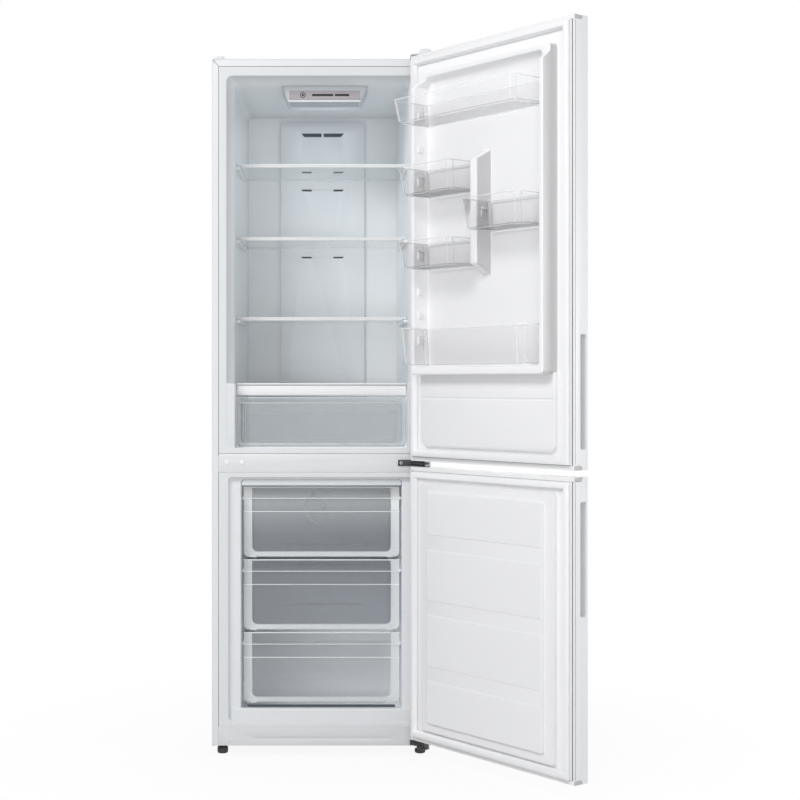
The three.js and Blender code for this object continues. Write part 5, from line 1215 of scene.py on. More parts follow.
def draw_door_skin(door):
    """Sheet bent round the door's face and sides, hemmed on its inner face."""
    mesh = bmesh.new()
    corner = sizes().door_corner / MM
    hem = 1.2

    def outline(inset):
        front = arc(max(corner - inset, 0.4), 6)
        rear = arc(max(hem - inset * 0.6, 0.3), 3)
        side = [(HALF - inset - a, OUTER_FACE + inset + b) for a, b in front]
        hems = [(HALF - inset - b, INNER_FACE - inset - a) for a, b in rear]
        return side + hems + [(HALF - HEM, INNER_FACE - inset)]

    outer, inner = outline(0.0), outline(STEEL)
    across_front = [(-a, b) for a, b in reversed(outer)] + outer
    behind = inner[::-1] + [(-a, b) for a, b in inner]
    loop = across_front + behind
    skin(mesh, [(door[0], loop), (door[1], loop)])
    return mesh


def handle_box(upper):
    """Ranges of depth and height of a door's handle."""
    node = "fridge_door_handle_cup" if upper else "freezer_door_handle_cup"
    z = box_mm(node)[2]
    return (INNER_FACE - 40.1, INNER_FACE - 19.5), z


def door_cutters(door, upper):
    """What is cut from the skin: the end caps' reveal and the handle's mouth."""
    cutters = []
    reach = CAP_HEIGHT + SEAT
    y = (INNER_FACE - CAP_REVEAL - SEAT, INNER_FACE + 3)
    for low, high, radius in (
        (door[0] - 2, door[0] + reach, (0.0, 0.0, 0.0, 8.0)),
        (door[1] - reach, door[1] + 2, (8.0, 0.0, 0.0, 0.0)),
    ):
        mesh = bmesh.new()
        outline = ring(y, (low, high), radius)
        skin(mesh, [(-HALF - 4, outline), (HALF + 4, outline)], across)
        cutters.append(placed("cutter", mesh, on_door=True))
    mesh = bmesh.new()
    y, z = handle_box(upper)
    outline = ring((y[0] - 0.2, y[1] + 0.2), (z[0] - 0.2, z[1] + 0.2), 4.0)
    skin(mesh, [(-HALF - 4, outline), (-HALF + 3, outline)], across)
    cutters.append(placed("cutter", mesh, on_door=True))
    return cutters


def draw_end_cap(z, radius):
    mesh = bmesh.new()
    reveal = INNER_FACE - CAP_REVEAL
    y = (OUTER_FACE + 1.3, reveal + 4)
    slab(mesh, shrunk((-HALF, HALF), 1.3), y, z, (3.0, 3.0, 0.1, 0.1), 0.6)
    slab(mesh, (reveal, INNER_FACE), z, shrunk((-HALF, HALF), 1.2), radius, 0.3, across)
    return mesh


def draw_cap_end_shades(z, radius):
    """Grey pads at both ends of an end cap: painted shade where the cap turns round the door's edges."""
    mesh = bmesh.new()
    y = (INNER_FACE - CAP_REVEAL, INNER_FACE - 0.5)
    for side in (-1, 1):
        levels = sorted((side * (HALF - 1.4), side * HALF))
        slab(mesh, y, shrunk(z, 0.4), levels, radius, 0.6, across)
    return mesh


def draw_edge_shadow_lines(door):
    """Dark strips along a door's two upright edges, beside its inner face: painted shadow of narrow
    grooves.
    """
    mesh = bmesh.new()
    for side in (-1, 1):
        levels = sorted((side * (HALF - 0.4), side * (HALF + 0.03)))
        slab(mesh, (INNER_FACE - 3.6, INNER_FACE - 2.2), shrunk(door, 14), levels, 0.3, 0.1, across)
    return mesh


def draw_handle_cup(upper):
    """Recessed grip: a lip round its mouth and a rounded trough behind."""
    mesh = bmesh.new()
    y, z = handle_box(upper)
    chain = [
        (-HALF + 23.2, ring(shrunk(y, 4.0), shrunk(z, 4.0), 3.0)),
        (-HALF + 22.4, ring(shrunk(y, 2.2), shrunk(z, 2.2), 3.2)),
        (-HALF + 20.0, ring(shrunk(y, 1.2), shrunk(z, 1.2), 3.4)),
        (-HALF + 0.4, ring(shrunk(y, 1.0), shrunk(z, 1.0), 3.6)),
        (-HALF, ring(shrunk(y, 0.6), shrunk(z, 0.6), 3.8)),
        (-HALF + 0.3, ring(y, z, 4.0)),
        (-HALF + 24.2, ring(y, z, 4.0)),
        (-HALF + 24.9, ring(shrunk(y, 0.8), shrunk(z, 0.8), 3.6)),
    ]
    skin(mesh, chain, across)
    return mesh


SEAL_MIDDLE = 21.5  # its middle line, in from the door's edges
SEAL_PROFILE = [  # distance out from the seal's middle line, and height off the door
    (-5.5, 0.3), (-5.5, 1.2), (-9.2, 1.6), (-9.4, 2.4), (-5.2, 12.6), (-4.4, 13.5), (1.0, 13.7),
    (7.6, 12.4), (8.5, 11.4), (8.5, 7.4), (7.7, 6.9), (7.7, 6.3), (8.5, 5.8), (8.5, 3.4),
    (8.0, 2.6), (5.5, 2.0), (5.5, 0.3),
]


def draw_seal(door):
    """Magnetic seal: a bellows profile mitred round the door."""
    mesh = bmesh.new()
    x, z = shrunk((-HALF, HALF), SEAL_MIDDLE), shrunk(door, SEAL_MIDDLE)
    rings = [
        (INNER_FACE + rise, ring(shrunk(x, -out), shrunk(z, -out), 0.0, 1))
        for out, rise in SEAL_PROFILE
    ]
    skin(mesh, rings, back, around=True)
    return mesh


JOINT = 3.4  # groove between the door's folded steel and its liner
CAP_JOINT = 0.8


def draw_joint_tape_and_shade(door):
    """Dark tape under the groove round a door's liner, also painted shade that darkens the groove."""
    mesh = bmesh.new()
    levels = (INNER_FACE - STEEL - SHADE_TAPE[1], INNER_FACE - STEEL - SHADE_TAPE[0])
    outer = ring(shrunk((-HALF, HALF), STEEL + 0.6), shrunk(door, CAP_HEIGHT + 0.1), 0.0, 1)
    x, z = shrunk((-HALF, HALF), HEM + JOINT - 0.1), shrunk(door, CAP_HEIGHT + CAP_JOINT - 0.1)
    border(mesh, outer, ring(x, z, 0.0, 1), levels)
    return mesh


FIN_HALF = 13.0  # half the width of the fin that the half trays hang on
FRAME_INSET = 56.0
FRAME_WIDTH = 15.0
FRAME_SILL = 22.0  # height of the frame's lowest member
FRAME_HEIGHT = 50.0
FRAME_TOP_HEIGHT = 25.0
FRAME_FOOT = FRIDGE_DOOR[0] + 230.0
FRAME_TOP = FRIDGE_DOOR[1] - 60.5
SHOULDER = (42.0, 20.0)  # where the sides drop to the top member's height, below the frame's top
SHOULDER_STOPS = (60.0, 46.0, 42.5, 40.5, 37.0, 31.0, 26.0, 22.5, 20.5)
CHAMFER = 22.0  # the opening's cut off upper corners


def crest(level):
    """Height of the frame over the sheet: full at its sides, lower along its top."""
    start, end = FRAME_TOP - SHOULDER[0], FRAME_TOP - SHOULDER[1]
    share = min(max((level - start) / (end - start), 0.0), 1.0)
    return FRAME_HEIGHT + (FRAME_TOP_HEIGHT - FRAME_HEIGHT) * share


def with_stops(points, edge_at):
    """A ring with points added up both sides, where the frame's crest drops."""
    steps = CORNER_STEPS + 1
    lower, right, left = points[: 2 * steps], points[2 * steps: 3 * steps], points[3 * steps:]
    levels = [FRAME_TOP - stop for stop in SHOULDER_STOPS]
    going_up = [(edge_at(level), level) for level in levels]
    going_down = [(-a, level) for a, level in reversed(going_up)]
    return lower + going_up + right + left + going_down


def frame_edge(inset):
    """The frame's outer outline, drawn in by an inset."""
    half = HALF - FRAME_INSET - inset
    high = FRAME_TOP - inset
    radius = max(11.0 - inset, 4.0)
    return with_stops(ring((-half, half), (FRAME_FOOT + inset, high), radius), lambda level: half)


def opening_edge(inset):
    """The opening's outline, its upper corners cut off, let out by an inset."""
    half = HALF - FRAME_INSET - FRAME_WIDTH - inset
    low, high = FRAME_FOOT + FRAME_SILL + inset, FRAME_TOP - FRAME_WIDTH - inset
    cut_foot = high - CHAMFER

    def edge_at(level):
        return half - max(min(level, high) - cut_foot, 0.0)

    last = FRAME_TOP - SHOULDER_STOPS[-1]
    steps = CORNER_STEPS + 1
    levels = [last + (high - last) * (step + 1) / steps for step in range(steps)]
    right = [(edge_at(level), level) for level in levels]
    left = [(-a, level) for a, level in reversed(right)]
    lower = ring((-half, half), (low, high), 14.0)[: 2 * steps]
    return with_stops(lower + right + left, edge_at)


def draw_fridge_door_liner():
    """Formed sheet with the soft raised frame that holds the trays."""
    mesh = bmesh.new()
    wall = mesh.verts.layers.float.new("wall")
    sheet_x = shrunk((-HALF, HALF), HEM + JOINT)
    sheet_z = shrunk(FRIDGE_DOOR, CAP_HEIGHT + CAP_JOINT)
    sheet = with_stops(ring(sheet_x, sheet_z, 1.0), lambda level: sheet_x[1])
    outline = [[(a, b, rise) for a, b in sheet] for rise in (-2.0, -0.5, 0.0)]
    for out, rise in ((4.5, 0.0), (2.4, 0.35), (1.0, 1.3), (0.2, 3.4)):
        outline.append([(a, b, rise) for a, b in frame_edge(-out)])
    for inset, drop in ((0.5, 4.6), (0.8, 2.6), (1.6, 1.2), (2.8, 0.4), (4.6, 0.0)):
        outline.append([(a, b, crest(b) - drop) for a, b in frame_edge(inset)])
    for inset, drop in ((-4.6, 0.0), (-2.8, 0.4), (-1.6, 1.2), (-0.9, 2.6), (-0.5, 4.6)):
        outline.append([(a, b, crest(b) - drop) for a, b in opening_edge(inset)])
    hang = FRAME_TOP - FRAME_WIDTH - 7
    for inset, rise, top_rise, slope in (
        (0.0, 3.4, 13.0, 3.0), (0.8, 1.3, 7.0, 7.0), (2.0, 0.35, 3.0, 12.0), (4.0, 0.0, 0.8, 17.0),
        (6.5, 0.0, 0.0, 22.0),
    ):
        points = []
        for a, b in opening_edge(inset):
            share = min(max((b + inset - hang) / 7, 0.0), 1.0)
            points.append((a, b - share * slope, rise + share * (top_rise - rise)))
        outline.append(points)
    loops = [[mesh.verts.new((a, INNER_FACE + v, b)) for a, b, v in points] for points in outline]
    # painted shade: the frame's outer wall by the handle gets a wall attribute of 1, which darkens its
    # finish
    half = HALF - FRAME_INSET
    for loop in loops[5:9]:
        for vertex in loop:
            vertex[wall] = float(vertex.co.x < 8 - half)
    join(mesh, loops)
    return mesh


def draw_door_fin():
    """Upright fin that the half trays hang on, with sloping ends."""
    mesh = bmesh.new()
    wall = mesh.verts.layers.float.new("wall")
    span = FRAME_TOP - FRAME_FOOT
    low, high = FRAME_FOOT + 0.3183 * span, FRAME_FOOT + 0.713 * span
    rings = []
    for rise in (-1.0, 0.0, 2.0, 10, 20, 30, 40, 46.5, 48.6, 49.6, 50.0):
        share = max(rise, 0.0) / FRAME_HEIGHT
        rounding = max(rise - 46.0, 0.0) ** 2 / 8.0
        flare = 3.0 * max(0.0, 1 - max(rise, 0.0) / 3.0) ** 2
        half = FIN_HALF - share - rounding + flare
        z = (low + 26 * share + rounding - flare, high - 26 * share - rounding + flare)
        rings.append((INNER_FACE + rise, ring((-half, half), z, 4.5)))
    skin(mesh, rings, back)
    # painted shade: the fin's side towards the handle gets a wall attribute of 1, which darkens its finish
    for vertex in mesh.verts:
        vertex[wall] = float(vertex.co.x < -10 and INNER_FACE < vertex.co.y < INNER_FACE + 47)
    return mesh


def raised(mesh, x, z, height, radius, soft=3.0):
    """A raised field: a soft foot, a drafted wall and a rounded crest."""
    rings = [
        (-1.0, -soft), (0.02, -soft), (0.35, -soft * 0.45), (1.3, -0.1), (height - soft, 0.8),
    ]
    rings += [(height - soft * 0.45, 1.2), (height - soft * 0.12, 2.0), (height, 0.8 + soft)]
    skin(mesh, [
        (INNER_FACE + rise, ring(shrunk(x, inset), shrunk(z, inset), lessened(radius, inset * 0.5)))
        for rise, inset in rings
    ], back)


def draw_lower_panel():
    """Shallow raised panel under the trays' frame, with a step across it."""
    mesh = bmesh.new()
    x = shrunk((-HALF, HALF), 52)
    low = FRIDGE_DOOR[0] + 40
    step = FRIDGE_DOOR[0] + 168
    high = FRIDGE_DOOR[0] + 236
    raised(mesh, x, (low, high), 10.6, (24.0, 24.0, 3.0, 3.0), 4.0)
    raised(mesh, shrunk(x, 3), (low + 3, step), 12.0, (22.0, 22.0, 3.0, 3.0), 2.0)
    raised(mesh, shrunk(x, 3), (step + 1.5, high), 12.0, 3.0, 2.0)
    return mesh


def draw_door_field():
    """Flat panel behind the trays."""
    mesh = bmesh.new()
    half = HALF - FRAME_INSET - FRAME_WIDTH - 5.5
    high = FRAME_TOP - FRAME_WIDTH - 34
    low = FRAME_FOOT + FRAME_SILL + 5.5
    slab(mesh, (-half, half), (low, high), (INNER_FACE - 1, INNER_FACE + 0.25), 12.0, 0.2, back)
    return mesh


SPARE_LUGS = (1200.0, 1262.0, 1640.0)  # tops of the lugs that carry no tray


def draw_lugs():
    """The seats of the trays on the frame's inner walls and on the fin."""
    mesh = bmesh.new()
    painted_shade_layer = mesh.verts.layers.float.new("wall")
    y = (INNER_FACE + 20, INNER_FACE + 36)
    for node, left, right in TRAYS:
        top = box_mm(node)[2][1] - LUG_DROP - SEAT
        for place, side in ((left, 1), (right, -1)):
            edge = sorted((place - side * 1.0, place + side * 3.4))
            slab(mesh, y, (top - 20, top), edge, 2.0, 0.9, across)
    for spare in SPARE_LUGS:
        for side in (-1, 1):
            edge = sorted((side * (TRAY_WALL + 1), side * (TRAY_WALL - 3.2)))
            slab(mesh, y, (spare - 20, spare), edge, 2.0, 0.9, across)
    # painted shade: the lugs on the fin's side towards the handle get a wall attribute of 1, which darkens
    # them
    for vertex in mesh.verts:
        vertex[painted_shade_layer] = float(-20 < vertex.co.x < -10)
    return mesh


def draw_freezer_door_liner():
    mesh = bmesh.new()
    x = shrunk((-HALF, HALF), HEM + JOINT)
    z = shrunk(FREEZER_DOOR, CAP_HEIGHT + CAP_JOINT)
    slab(mesh, x, z, (INNER_FACE - 2, INNER_FACE), 1.0, 0.5, back)
    return mesh


PAD_EDGES = (228.0, 265.0, 402.0, 438.0, 574.0, 611.5)  # heights over the floor


def draw_freezer_door_steps():
    """The two raised steps, the upper one in pads with grooves between them."""
    mesh = bmesh.new()
    raised(mesh, shrunk((-HALF, HALF), 55), shrunk(FREEZER_DOOR, 37.5), 13.4, 10.0, 3.0)
    field_x, field_z = shrunk((-HALF, HALF), 86.7), shrunk(FREEZER_DOOR, 61.7)
    rings = [
        (12.0, -3.0), (13.42, -3.0), (13.8, -1.2), (14.8, -0.2), (19.8, 0.3), (20.8, 0.9), (21.2, 2.2),
    ]
    skin(mesh, [
        (INNER_FACE + rise, ring(shrunk(field_x, inset), shrunk(field_z, inset), 7.0))
        for rise, inset in rings
    ], back)
    edges = (field_z[0] + 1.0, *PAD_EDGES, field_z[1] - 1.0)
    for pad_z in zip(edges[::2], edges[1::2]):
        pad_x = shrunk(field_x, 1.4)
        rings = [(19.5, -0.2), (21.0, 0.3), (21.9, 0.9), (22.5, 1.9), (22.7, 3.6)]
        skin(mesh, [
            (INNER_FACE + rise, ring(shrunk(pad_x, inset), shrunk(pad_z, inset), 5.0))
            for rise, inset in rings
        ], back)
    return mesh


# Each tray with the walls it hangs between, shut: left and right in the cabinet's frame.
TRAY_WALL = HALF - FRAME_INSET - FRAME_WIDTH
TRAYS = (
    ("top_door_bin", -TRAY_WALL, TRAY_WALL),
    ("upper_half_bin", FIN_HALF, TRAY_WALL),
    ("middle_half_bin", -TRAY_WALL, -FIN_HALF),
    ("lower_half_bin", FIN_HALF, TRAY_WALL),
    ("bottom_door_bin", -TRAY_WALL, TRAY_WALL),
)
TRAY_DEPTH = {"top_door_bin": 131.0, "bottom_door_bin": 108.0}
HALF_TRAY_DEPTH = 115.0
LUG_DROP = 22  # from a tray's rim down to its hook, which sits on a lug


def tray_place(node, left, right):
    """A tray's ranges at its rim, and how far its walls come in at a rise over its foot."""
    z = box_mm(node)[2]
    x = (left + 5, right - 5)
    y = (INNER_FACE + 7, INNER_FACE + TRAY_DEPTH.get(node, HALF_TRAY_DEPTH))
    height = z[1] - z[0]
    lean = (
        (0.0, 12.0, 18.0), (1.2, 9.0, 15.0), (5.0, 6.5, 10.0), (height * 0.5, 3.4, 4.6),
        (height, 0.0, 0.0),
    )
    return x, y, z, lean


def draw_tray(node, left, right):
    """Clear tray: its face leans in to the foot and its walls are thin."""
    mesh = bmesh.new()
    x, y, z, lean = tray_place(node, left, right)
    wall = 2.0

    def layer(rise, side, front, inward):
        a = (x[0] + side + inward, x[1] - side - inward)
        b = (y[0] + inward, y[1] - front - inward)
        return z[0] + rise, ring(a, b, (2.0, 2.0, max(14 - inward, 2), max(14 - inward, 2)))

    height = z[1] - z[0]
    slopes = lean[:-1]
    rings = [layer(rise, side, front, 0) for rise, side, front in slopes]
    rings.append(layer(height - 1, 0, 0, 0))
    rings.append(layer(height, 0.1, 0.1, wall / 2))
    rings.append(layer(height - 1, 0, 0, wall))
    for rise, side, front in reversed(slopes):
        rings.append(layer(rise + wall * (rise < 6), side, front, wall))
    skin(mesh, rings)
    return mesh


def draw_tray_rims(node, left, right):
    """The thick edges, drawn white as painted highlight: rim, foot, corners, ribs by the door and hooks.
    """
    mesh = bmesh.new()
    x, y, z, lean = tray_place(node, left, right)

    def bead(level, side, front, thick, tall):
        a = (x[0] + side, x[1] - side)
        b = (y[0], y[1] - front)
        radius = (2.0, 2.0, 14.0, 14.0)
        rows = [(0.0, 0.0), (0.0, tall), (thick, tall), (thick, 0.0)]
        skin(mesh, [
            (level + rise, ring(shrunk(a, inward), shrunk(b, inward), lessened(radius, inward)))
            for inward, rise in rows
        ], around=True)

    bead(z[1] - 2.2, 0.0, 0.0, 2.6, 2.2)
    bead(z[0], 11.0, 17.0, 3.0, 2.0)
    hook = z[1] - LUG_DROP
    slopes = (lean[2], lean[3], (z[1] - z[0] - 2, 0.0, 0.0))
    for place, side, wall in ((left, 1, x[0]), (right, -1, x[1])):
        edge = sorted((place + side * 1.1, place + side * 8.0))
        slab(mesh, edge, (INNER_FACE + 17, INNER_FACE + 39), (hook, hook + 5), 1.5, 0.9)
        for along, inward in ((14.0, 1.0), (1.0, 12.0)):
            corner = [
                (wall + side * (lean_in + inward), y[1] - front - along, z[0] + rise)
                for rise, lean_in, front in slopes
            ]
            tube(mesh, corner, 1.1, 8)
        rings = []
        for rise, lean_in, _ in slopes:
            a = sorted((wall + side * (lean_in - 0.6), wall + side * (lean_in + 2.6)))
            rings.append((z[0] + rise, ring(a, (y[0], y[0] + 9), 0.8, 2)))
        skin(mesh, rings)
    return mesh


def draw_tray_floor(node, left, right):
    """A tray's floor, thicker than its walls."""
    mesh = bmesh.new()
    x, y, z, lean = tray_place(node, left, right)
    _, side, front = lean[2]
    a, b = shrunk(x, side + 2.5), (y[0] + 2.5, y[1] - front - 2.5)
    slab(mesh, a, b, (z[0] + 2.3, z[0] + 4.0), (2.0, 2.0, 12.0, 12.0), 0.6)
    return mesh


def draw_tray_lines(node, left, right):
    """The fine dark outlines of a tray's end walls, painted shade along their edges."""
    mesh = bmesh.new()
    x, y, z, lean = tray_place(node, left, right)
    top = z[1] - 1.2
    rise, lean_in, front = lean[2]
    for side, wall in ((1, x[0]), (-1, x[1])):
        foot = wall + side * (lean_in + 1.2)
        rim = wall + side * 1.2
        deep, shallow = y[1] - 13.0, y[0] + 2.0
        hook = shallow + 15.0
        for line in (
            [(rim, deep, top), (foot, deep - front, z[0] + rise)],
            [(rim, shallow, top), (foot, shallow, z[0] + rise)],
            [(rim, hook, top), (foot, hook, z[0] + rise)],
            [(rim, deep, top), (rim, shallow, top)],
            [(foot, deep - front, z[0] + rise), (foot, shallow, z[0] + rise)],
        ):
            tube(mesh, line, 0.55, 6)
    return mesh


# ---------------------------------------------------------------------------------------------
# Back and underside
# ---------------------------------------------------------------------------------------------


COVER_RIM = 22  # height of the rear cover's upper rim
LOWEST_SLAT = 33  # over the cover's foot


def draw_rear_cover_frame():
    """The rear cover's rim, posts and foot, with the lead's gland."""
    mesh = bmesh.new()
    x, _, z = box_mm("machine_cover")
    face = (DEPTH - 3.0, DEPTH - 1.0)
    low = z[0] + 5
    slab(mesh, x, (low, low + 26), face, 2.0, 0.8, back)
    slab(mesh, x, (z[1] - COVER_RIM, z[1]), face, 2.0, 0.8, back)
    for left, right in ((x[0], x[0] + 60), (-12.0, 12.0), (x[1] - 60, x[1])):
        slab(mesh, (left, right), (low + 20, z[1] - 16), face, 1.0, 0.6, back)
    slab(mesh, x, (z[0], low + 3), (DEPTH - 11, DEPTH - 1), 1.5, 0.8, back)
    gland = [
        (9, DEPTH - 12), (9.4, DEPTH - 3), (12, DEPTH - 1.4), (12, DEPTH), (8.6, DEPTH + 1),
        (8.0, DEPTH + 6.4), (5.0, DEPTH + 7), (4.6, DEPTH + 2),
    ]
    turned(mesh, gland, (x[1] - 28, low + 21), back, 24)
    return mesh


def draw_slat():
    """One sloping slat in each half of the rear cover."""
    mesh = bmesh.new()
    x, _, z = box_mm("machine_cover")
    low = z[0] + LOWEST_SLAT
    outline = [
        (DEPTH - 3.0, low), (DEPTH - 1.2, low), (DEPTH - 1.0, low + 1.0),
        (DEPTH - 2.8, low + 6.6), (DEPTH - 4.6, low + 6.6),
    ]
    for left, right in ((x[0] + 59, -11.0), (11.0, x[1] - 59)):
        skin(mesh, [(left, outline), (right, outline)], across)
    return mesh


FIN = 0.5  # thickness of an evaporator's fin


def draw_fin():
    mesh = bmesh.new()
    x, y, z = box_mm("evaporator")
    slab(mesh, (x[0], x[0] + FIN), y, z, 0.1, 0.1)
    return mesh


def draw_evaporator_tubes():
    """The tube that winds up through the fins."""
    mesh = bmesh.new()
    x, y, z = box_mm("evaporator")
    left, right = x[0] + 6, x[1] - 6
    rows = 9
    pitch = (z[1] - z[0] - 24) / (rows - 1)
    for depth in (y[0] + 16, y[1] - 16):
        for row in range(rows):
            level = z[0] + 12 + row * pitch
            tube(mesh, [(left, depth, level), (right, depth, level)], 4.0, 10)
    return mesh


COMPRESSOR_MIDDLE = (-70.0, 475.0)
PIPES_EDGE = 72.0  # from there to the pipes' side of the shell
STRAP_RISE = 11.5  # height of the strap over the mounts' feet


def draw_compressor():
    """Domed shell on its strap, with the terminal box and rubber mounts."""
    mesh = bmesh.new()
    z = box_mm("compressor")[2]
    middle = COMPRESSOR_MIDDLE
    low = z[0] + STRAP_RISE
    profile = [
        (30, low), (48, low + 2), (62, low + 12), (70, low + 26), (72, low + 34), (72, low + 78),
        (73.5, low + 79), (73.5, low + 84), (72, low + 85), (72, low + 112), (69, low + 128),
        (60, low + 146), (46, low + 158), (28, low + 165), (10, low + 168),
    ]
    turned(mesh, profile, middle, sides=48)
    for left, right, reach, levels, corner, edge in (
        (-94, 94, 45, (low - 2, low + 2), 14, 1), (64, 106, 28, (low + 40, low + 100), 6, 3),
    ):
        sides = (middle[0] + left, middle[0] + right)
        slab(mesh, sides, (middle[1] - reach, middle[1] + reach), levels, corner, edge)
    mount = [(6, z[0] + 0.3), (9, z[0] + 1.5), (8, z[0] + 6), (9, z[0] + 11), (6, low - 2)]
    for side in (-84, 84):
        for depth in (-34, 34):
            turned(mesh, mount, (middle[0] + side, middle[1] + depth), sides=20)
    return mesh


def draw_compressor_pipes():
    """Pipes, the drier and its bracket."""
    mesh = bmesh.new()
    z = box_mm("compressor")[2]
    edge, depth, low = COMPRESSOR_MIDDLE[0] + PIPES_EDGE, COMPRESSOR_MIDDLE[1], z[0] + STRAP_RISE
    for side in (-34, 34):
        points = [
            (edge - 14, depth + side * 0.4, low + 110), (edge + 20, depth + side * 0.7, low + 118),
            (edge + 40, depth + side, low + 150), (edge + 40, depth + side, z[1] - 0.4),
        ]
        tube(mesh, bend(points), 4.0)
    drier = [
        (3, low + 1), (4, low + 2), (9.5, low + 10), (9.5, low + 88), (4, low + 98), (4, z[1] - 0.4),
    ]
    turned(mesh, drier, (edge + 60, depth), sides=24)
    slab(mesh, (edge - 2, edge + 64), (depth - 8, depth + 8), (low - 1.9, low + 1.9), 2, 0.6)
    return mesh


def draw_foot(node):
    """Levelling foot: round pad, hexagonal collar and threaded stem."""
    mesh = bmesh.new()
    x, y, z = box_mm(node)
    centre = ((x[0] + x[1]) / 2, (y[0] + y[1]) / 2)
    pad = 18.0 if centre[0] < 0 else 12.0
    base = [
        (11, 0.0), (13.6, 1.2), (14.6, 3.5), (14.9, pad - 5), (14.2, pad - 1.5), (12.6, pad), (9, pad),
    ]
    turned(mesh, base, centre, sides=36)
    turned(mesh, [(8.6, pad - 0.5), (8.9, pad + 0.6), (8.9, 20.6), (8.2, 21.3)], centre, sides=6)
    thread = [(5.2, pad)]
    level = 21.0
    while level < z[1] - 1.5:
        thread += [(5.9, level), (5.2, level + 0.75)]
        level += 1.5
    turned(mesh, thread + [(4.6, z[1])], centre, sides=20)
    return mesh


def draw_roller(node):
    mesh = bmesh.new()
    x, y, z = box_mm(node)
    centre = ((y[0] + y[1]) / 2, (z[0] + z[1]) / 2)
    half = [(3.4, 0.4), (5.5, 0.0), (9, 1.6), (12.5, 1.2), (14.4, 0.3), (15, 1.6)]
    profile = [(radius, x[0] + inset) for radius, inset in half]
    profile += [(radius, x[1] - inset) for radius, inset in reversed(half)]
    turned(mesh, profile, centre, across, 40, around=True)
    return mesh


def draw_screw_recess():
    """Dark drive in the middle hinge's screw."""
    mesh = bmesh.new()
    x, y, z = box_mm("middle_hinge_screw")
    centre = ((x[0] + x[1]) / 2, (z[0] + z[1]) / 2)
    turned(mesh, [(2.4, y[0] + 0.6), (2.4, y[0] - 0.04), (0.1, y[0] - 0.04)], centre, back, 6)
    return mesh


def draw_upper_hinge():
    """Narrow plate on the case's top, with the upper door's pin under its end."""
    mesh = bmesh.new()
    x, y, z = box_mm("top_hinge")
    slab(mesh, (PIN_X - 34, x[1]), y, (z[1] - 3.0, z[1]), 12.0, 0.5)
    profile = [(4.2, z[0]), (4.9, z[0] + 0.8), (4.9, z[1] - 2.6)]
    turned(mesh, profile, (PIN_X, PIN_Y), sides=28)
    return mesh


def draw_hinge_cover():
    mesh = bmesh.new()
    x, y, z = box_mm("top_hinge_cover")
    rings = [(z[0], 0.0), (z[1] - 6, 0.4), (z[1] - 2.6, 1.6), (z[1] - 0.9, 3.6), (z[1], 7.0)]
    skin(mesh, [
        (level, ring(shrunk(x, inset), shrunk(y, inset), lessened(9.0, inset * 0.4)))
        for level, inset in rings
    ])
    return mesh


# ---------------------------------------------------------------------------------------------
# Operators, one for each piece or group of like pieces
# ---------------------------------------------------------------------------------------------

MADE = []


def made(operator):
    """Adds an operator to the list that is registered and run in order."""
    MADE.append(operator)
    return operator


@made
class FRIDGE_OT_case(bpy.types.Operator):
    """Case, crossbar, kick panel and the cover of the unused hinge holes"""

    bl_idname = "refrigerator.case"
    bl_label = "Case"

    def execute(self, context):
        edge = sizes().moulding_edge / MM
        for name, mesh, finish, slot, nodes in (
            ("case", draw_case(), "enamel", "case_paint", ("cabinet_shell",)),
            ("seam_tape_and_shade", draw_seam_tape_and_shade(), "black", "black_plastic", ()),
            ("mitre_lines", draw_mitres(), "joint_and_groove_shadow", "black_plastic", ()),
            ("screw_caps", draw_caps(), "shelf_trim", "white_plastic", ("mid_crossbar",)),
            ("sill_shadow", draw_sill_shadow(), "duct_inside", "black_plastic", ()),
        ):
            add(name, mesh, "cabinet", finish, slot, *nodes)
        for name, node, finish in (
            ("crossbar", "mid_crossbar", "trim"), ("kick_plate", "kick_panel", "kick"),
            ("hole_cover", "top_hole_cover", "trim"),
        ):
            piece = dressed_copy(name, node, edge)
            hand_over(piece, "cabinet", finish, "white_plastic", node)
        keep("cabinet_insulation", "foam")
        return {"FINISHED"}


@made
class FRIDGE_OT_liners(bpy.types.Operator):
    """Formed liners of the fridge and the freezer"""

    bl_idname = "refrigerator.liners"
    bl_label = "Liners"

    def execute(self, context):
        add("fridge_walls", draw_fridge_liner(), "cabinet", "liner", "liner", "fridge_liner")
        add("freezer_walls", draw_freezer_liner(), "cabinet", "liner", "liner", "freezer_liner")
        return {"FINISHED"}


@made
class FRIDGE_OT_control_panel(bpy.types.Operator):
    """Control panel under the ceiling, with its window and lamp"""

    bl_idname = "refrigerator.control_panel"
    bl_label = "Control panel"

    def execute(self, context):
        lens = "control_panel_lens"
        housing = draw_panel_housing()
        add("panel_housing", housing, "cabinet", "housing", "white_plastic", "control_panel_housing")
        for name, mesh, finish in (
            ("panel_window", draw_display_window(), "display"), ("panel_lamp", draw_lamp(), "lamp"),
            ("panel_diffuser", draw_diffuser(), "diffuser"),
        ):
            add(name, mesh, "cabinet", finish, "lens", lens)
        add("panel_marks", draw_display_marks(), "cabinet", "mark", "lens")
        return {"FINISHED"}


VENT_DROPS = (0.1623, 0.2192, 0.4341)  # the short vents, as shares of the cover's height


def draw_vent_lips():
    """Thin ribs that join the two short vents of a row."""
    mesh = bmesh.new()
    _, y, z = box_mm("fridge_duct_cover")
    for drop in VENT_DROPS:
        level = z[1] - drop * (z[1] - z[0])
        slab(mesh, (-32.5, 32.5), (level - 1.6, level - 0.4), (y[0] - 0.7, y[0] + 0.4), 0.5, 0.3, back)
    return mesh


